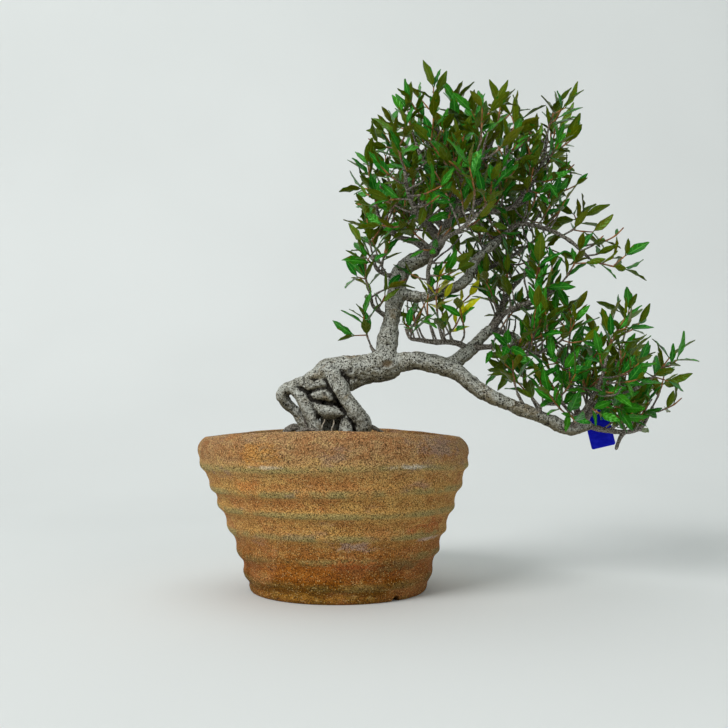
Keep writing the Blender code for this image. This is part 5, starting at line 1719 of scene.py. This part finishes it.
def grow_sprays(space):
    """Thin sprays at even steps along every branch."""
    sprays = {}
    for number, (name, (route, _)) in enumerate(BRANCHES.items()):
        branch = smooth_route(route, 40)
        length = np.linalg.norm(np.diff(branch[:, :3], axis=0), axis=1).sum()
        count = int(length / SPRAY_SPACING) if name not in BARE_BRANCHES else 0
        sprays[name] = []
        for k in range(count):
            rng = np.random.default_rng((SPRAY_SEED, number, k))
            share = 0.16 + 0.82 * (k + rng.uniform(0.2, 0.8)) / count
            grown = grow_spray(rng, space, f"spray_{name}_{k}", branch, share)
            if grown is not None:
                sprays[name].append(grown)
    return sprays


def leaf_surface(leaves, rng):
    """Many leaves at once: u runs from root to tip and s across from margin to margin.

    The middle line is root + way L u - upper arch L u^2. Half the width is W/2 times t^0.75 (1 - t)^1.15,
    scaled to 1 at its widest, with t the way along past the stalk. Across, the blade folds up from the
    rib by the share of the fold times |s|, and a wave along u that grows with s^2 crinkles the margins."""
    n = len(leaves)
    start = np.array([shape["root"].mean(0) for shape in leaves])
    way = np.array([shape["way"] for shape in leaves])
    upper = np.array([shape["upper"] for shape in leaves])
    side = np.cross(way, upper)
    sizes = np.array([[shape[key] for key in ("length", "width", "arch")] for shape in leaves])
    length, width, arch = sizes.T
    u = np.array(LEAF_STATIONS_FINE)
    across_s = np.array((-1, -0.5, 0, 0.5, 1, 0))
    layer = np.array((0, 1, 1, 1, 0, -1))
    sides = len(across_s)
    t = np.clip((u - STALK) / (1 - STALK), 0, 1)
    shape_wide = t**0.75 * (1 - t) ** 1.15 / 0.2795
    half = np.maximum(width[:, None] / 2 * shape_wide, STALK_RADIUS)
    blade_share = np.clip(t / 0.12, 0, 1) * np.clip((1 - t) / 0.1, 0.3, 1)
    thick = STALK_RADIUS + (BLADE_THICKNESS / 2 - STALK_RADIUS) * blade_share
    phase = rng.uniform(0, 2 * np.pi, (n, 2))
    waves = rng.uniform(1.8, 3.0, (n, 1, 1))
    bend = rng.normal(0, 0.10, n)
    curl = rng.uniform(0.6, 1.5, n) * LEAF_CRINKLE * width
    s = across_s[None, None]
    turn = np.where(s < 0, phase[:, :1, None], phase[:, 1:, None])
    ripple = np.sin(2 * np.pi * waves * u[None, :, None] + turn) * s**2
    quilt = 0.35 * np.sin(2 * np.pi * (waves + 1.7) * u[None, :, None] + 2 * turn)
    quilt = quilt * np.abs(s) * (1.2 - np.abs(s))
    inner = blade_share[None, :, None]
    lift = half[..., None] * LEAF_FOLD * np.abs(s) * inner + curl[:, None, None] * (ripple + quilt) * inner
    lift = lift + thick[None, :, None] * layer * (1 - 0.75 * (layer == 0))
    rib = np.where((layer == -1) & (across_s == 0), -0.16, 0.0) * np.clip((1 - t) * 1.4, 0, 1)[:, None]
    lift = lift + rib[None] * inner
    stalk = (1 - blade_share)[None, :, None]
    turn_round = np.arange(sides) * 2 * np.pi / sides
    round_side = -np.cos(turn_round) * STALK_RADIUS
    round_up = np.sin(turn_round) * STALK_RADIUS
    near_root = (u < STALK + 0.05)[None, :, None]
    aside = s * half[..., None]
    aside = np.where(near_root, aside * (1 - stalk) + round_side * stalk, aside)
    lift = np.where(near_root, lift * (1 - stalk) + round_up * stalk, lift)
    centre = start[:, None] + way[:, None] * (length[:, None] * u)[..., None]
    centre = centre - upper[:, None] * (arch[:, None] * length[:, None] * u**2)[..., None]
    centre = centre + side[:, None] * (bend[:, None] * length[:, None] * u**2 * 0.5)[..., None]
    points = centre[:, :, None] + side[:, None, None] * aside[..., None]
    points = points + upper[:, None, None] * lift[..., None]
    base = start - way * 0.9
    tip = centre[:, -1] + way * (length * 0.035)[:, None]
    rows = len(u)
    each = rows * sides + 2
    flat = np.concatenate((base[:, None], points.reshape(n, -1, 3), tip[:, None]), axis=1)
    _, faces = closed_by_poles(points[0], base[0], tip[0])
    uv_u = np.concatenate(((0,), np.repeat(u, sides), (1,)))
    uv_s = np.concatenate(((0.5,), np.tile(across_s / 2 + 0.5, rows), (0.5,)))
    cap_under = np.array((0, 0, 0, 0, 1, 1))
    under = np.concatenate((cap_under, np.tile(cap_under, rows - 1), cap_under))
    return flat.reshape(-1, 3), faces, each, (uv_u, uv_s), under


def leaf_piece(name, leaves, finish, replaced, seed, yellow=0.0):
    """All leaves of one branch in one mesh, a share of them yellow."""
    rng = np.random.default_rng((77, seed))
    points, faces, each, (uv_u, uv_s), under = leaf_surface(leaves, rng)
    n = len(leaves)
    all_faces = [tuple(k + i * each for k in face) for i in range(n) for face in faces]
    values = {"tone": np.repeat(rng.uniform(0, 1, n), each)}
    values["age"] = np.repeat(np.where(rng.uniform(0, 1, n) < yellow, 1.0, rng.uniform(0, 0.96, n)), each)
    made = piece(name, (points, all_faces), finish, "leaf", replaced, sharp=GRAIN_SHARP_ANGLE, **values)
    mesh = made.data
    put_attribute(mesh, "underside", np.tile(under, n), "FACE")
    layer = mesh.uv_layers.new(name="blade")
    corner = np.empty(len(mesh.loops), np.int32)
    mesh.loops.foreach_get("vertex_index", corner)
    flat = np.column_stack((np.tile(uv_u, n)[corner], np.tile(uv_s, n)[corner]))
    layer.data.foreach_set("uv", flat.astype(np.float32).ravel())


def stem_route(route, share):
    """A stem's smooth line, with a swelling at each node."""
    line = dense(route, STEM_STEP)
    away = np.full(len(line), 9.0)
    if len(route) > 2:
        away = np.linalg.norm(line[:, None, :3] - route[None, 1:-1, :3], axis=2).min(1)
    line[:, 3] *= share * (1 + 0.35 * np.exp(-((away / 0.9) ** 2)))
    return line


def add_stem(tubes, route, share, first_youth, last_youth):
    """Adds a stem to the tubes, at a share of its radius, younger towards its end."""
    line = stem_route(route, share)
    youth = np.linspace(first_youth, last_youth, len(line))
    tubes.add(*round_tube(line, STEM_SIDES, STEM_TIP), youth=ringed(youth, STEM_SIDES))


def fine_crown(stems, leaf_green):
    """Every shoot of the frame as fine leaves and stems, and the thin sprays between them."""
    space = Space()
    for solid in wood_tubes():
        space.add(solid, "wood")
    space.add(placed_tag(tag_solid()), "tag")
    space.add(wire_loop(*LOOP_SIDES), "loop")
    shoots = grow_crown(space)
    sprays = grow_sprays(space)
    total = 0
    for number, name in enumerate(BRANCHES):
        own = [shoot for shoot in shoots if shoot["name"].rsplit("_", 1)[0] == "shoot_" + name]
        tubes, leaves = Parts(), []
        for shoot in own:
            limbs, grown = limbs_of(shoot["stem"])
            leaves += grown
            for depth, limb in enumerate(limbs):
                young = 0.6 if depth == 0 else 0.85
                add_stem(tubes, limb.route, STEM_SHARE, young - 0.35, min(1.0, young + 0.3))
        for spray in sprays[name]:
            leaves += spray["leaves"]
            add_stem(tubes, spray["stem"], 1.0, 0.0, 1.0 if spray["leaves"] else 0.2)
        total += len(leaves)
        if not tubes.count:
            continue
        replaced = [shoot["name"] for shoot in own]
        piece("stems_" + name, tubes.solid(), stems, "bark", replaced, **tubes.attributes())
        leaf_piece("leaves_" + name, leaves, leaf_green, replaced, number, YELLOWING.get(name, 0.0))
    print("shoots", len(shoots), "sprays", sum(map(len, sprays.values())), "leaves", total)


def fine_tag(blue):
    """The plate: its outline with rounded corners drawn in towards the hole, front, edge and back."""
    width, thick, height = TAG_SIZE
    corners = (
        (width / 2 - 2.0, -2.0, 2.0, 90), (-width / 2 + 2.0, -2.0, 2.0, 180),
        (-width / 2 + 1.0, -height + 1.0, 1.0, 270), (width / 2 - 1.0, -height + 1.0, 1.0, 0),
    )
    outline = []
    for x, z, radius, first in corners:
        turn = np.radians(np.linspace(first - 90, first, 9))
        outline.append(np.column_stack((x + radius * np.cos(turn), z + radius * np.sin(turn))))
    outline = np.vstack(outline)
    closed = np.vstack((outline, outline[:1]))
    run = np.append(0, np.cumsum(np.linalg.norm(np.diff(closed, axis=0), axis=1)))
    even = np.linspace(0, run[-1], 161)[:-1]
    edge = np.column_stack([np.interp(even, run, column) for column in closed.T])
    hole = np.array((0.0, -TAG_HOLE_FROM_TOP))
    away = edge - hole
    rim = hole + away / np.linalg.norm(away, axis=1)[:, None] * TAG_HOLE_RADIUS
    half = thick / 2
    front = [(share, -half) for share in (0.015, 0.10, 0.35, 0.65, 0.975)]
    front = [(0.0, -half + 0.12), *front, (1.0, -half + 0.2)]
    rings = []
    for share, y in front + [(share, -y) for share, y in front[::-1]]:
        flat = rim + (edge - rim) * share
        rings.append(np.column_stack((flat[:, 0], np.full(len(flat), y), flat[:, 1])))
    faces = grid_faces(len(rings), len(edge), round_rows=True)
    points, _ = placed_tag((np.vstack(rings), faces))
    piece("tag_plate", (points, faces.tolist()), blue, "tag_plastic", ("tag",), sharp=np.radians(35))


def fine_wire(metal):
    """The tag's wire, as a closed ring."""
    piece("tag_wire_ring", wire_loop(*FINE_LOOP_SIDES, 0.10), metal, "tag_wire", ("tag_loop",))


def studio():
    """A pale floor that sweeps up behind, a large soft light on each side and above, and the camera."""
    across_floor = np.linspace(-FLOOR_REACH, FLOOR_REACH, 9)
    back = np.radians(np.linspace(0, 90, 17))
    profile = [(-2500.0, 0.0), (-800.0, 0.0), (0.0, 0.0), (SWEEP_FROM, 0.0)]
    profile += [(SWEEP_FROM + SWEEP * np.sin(a), SWEEP * (1 - np.cos(a))) for a in back[1:]]
    profile.append((SWEEP_FROM + SWEEP, FLOOR_REACH))
    points = np.array([(x, y, z) for y, z in profile for x in across_floor])
    columns = len(across_floor)
    starts = [r * columns + c for r in range(len(profile) - 1) for c in range(columns - 1)]
    faces = [(k, k + 1, k + 1 + columns, k + columns) for k in starts]
    floor = shown("floor", mesh_of("floor", (points + UP * FOOT_LEVEL, faces)))
    floor.data.materials.append(floor_finish())

    for name, place, target, size, power in LIGHTS:
        light = bpy.data.lights.new(name, "AREA")
        light.size = size * MM
        light.energy = power
        lamp = shown(name, light)
        aim = Vector(target) - Vector(place)
        lamp.location = Vector(place) * MM
        lamp.rotation_euler = aim.to_track_quat("-Z", "Y").to_euler()

    world = bpy.data.worlds.new("pale_room")
    world.use_nodes = True
    sky = world.node_tree.nodes["Background"].inputs
    sky["Color"].default_value = (0.86, 0.93, 0.92, 1.0)
    sky["Strength"].default_value = WORLD_STRENGTH
    bpy.context.scene.world = world

    camera = bpy.data.cameras.new("camera")
    camera.sensor_width = 36.0
    camera.lens = CAMERA_LENS
    camera.clip_start = 0.01
    seen = shown("camera", camera)
    seen.location = Vector(CAMERA_AT) * MM
    seen.rotation_euler = (np.pi / 2 + CAMERA_PITCH, 0.0, 0.0)
    bpy.context.scene.camera = seen
    bpy.context.scene.view_settings.view_transform = "Standard"


studio()
fine_pot(clay_finish())
fine_soil(earth_finish())
soil_grit(granule_finish())
fine_wood(bark_finish())
stem_bark = stem_finish()
fine_branches(stem_bark)
thin_roots("surface_roots", SURFACE_ROOTS, stem_bark)
thin_roots("root_hairs", ROOT_HAIRS, hair_finish())
fine_crown(stem_bark, leaf_finish())
fine_tag(tag_finish())
fine_wire(wire_finish())
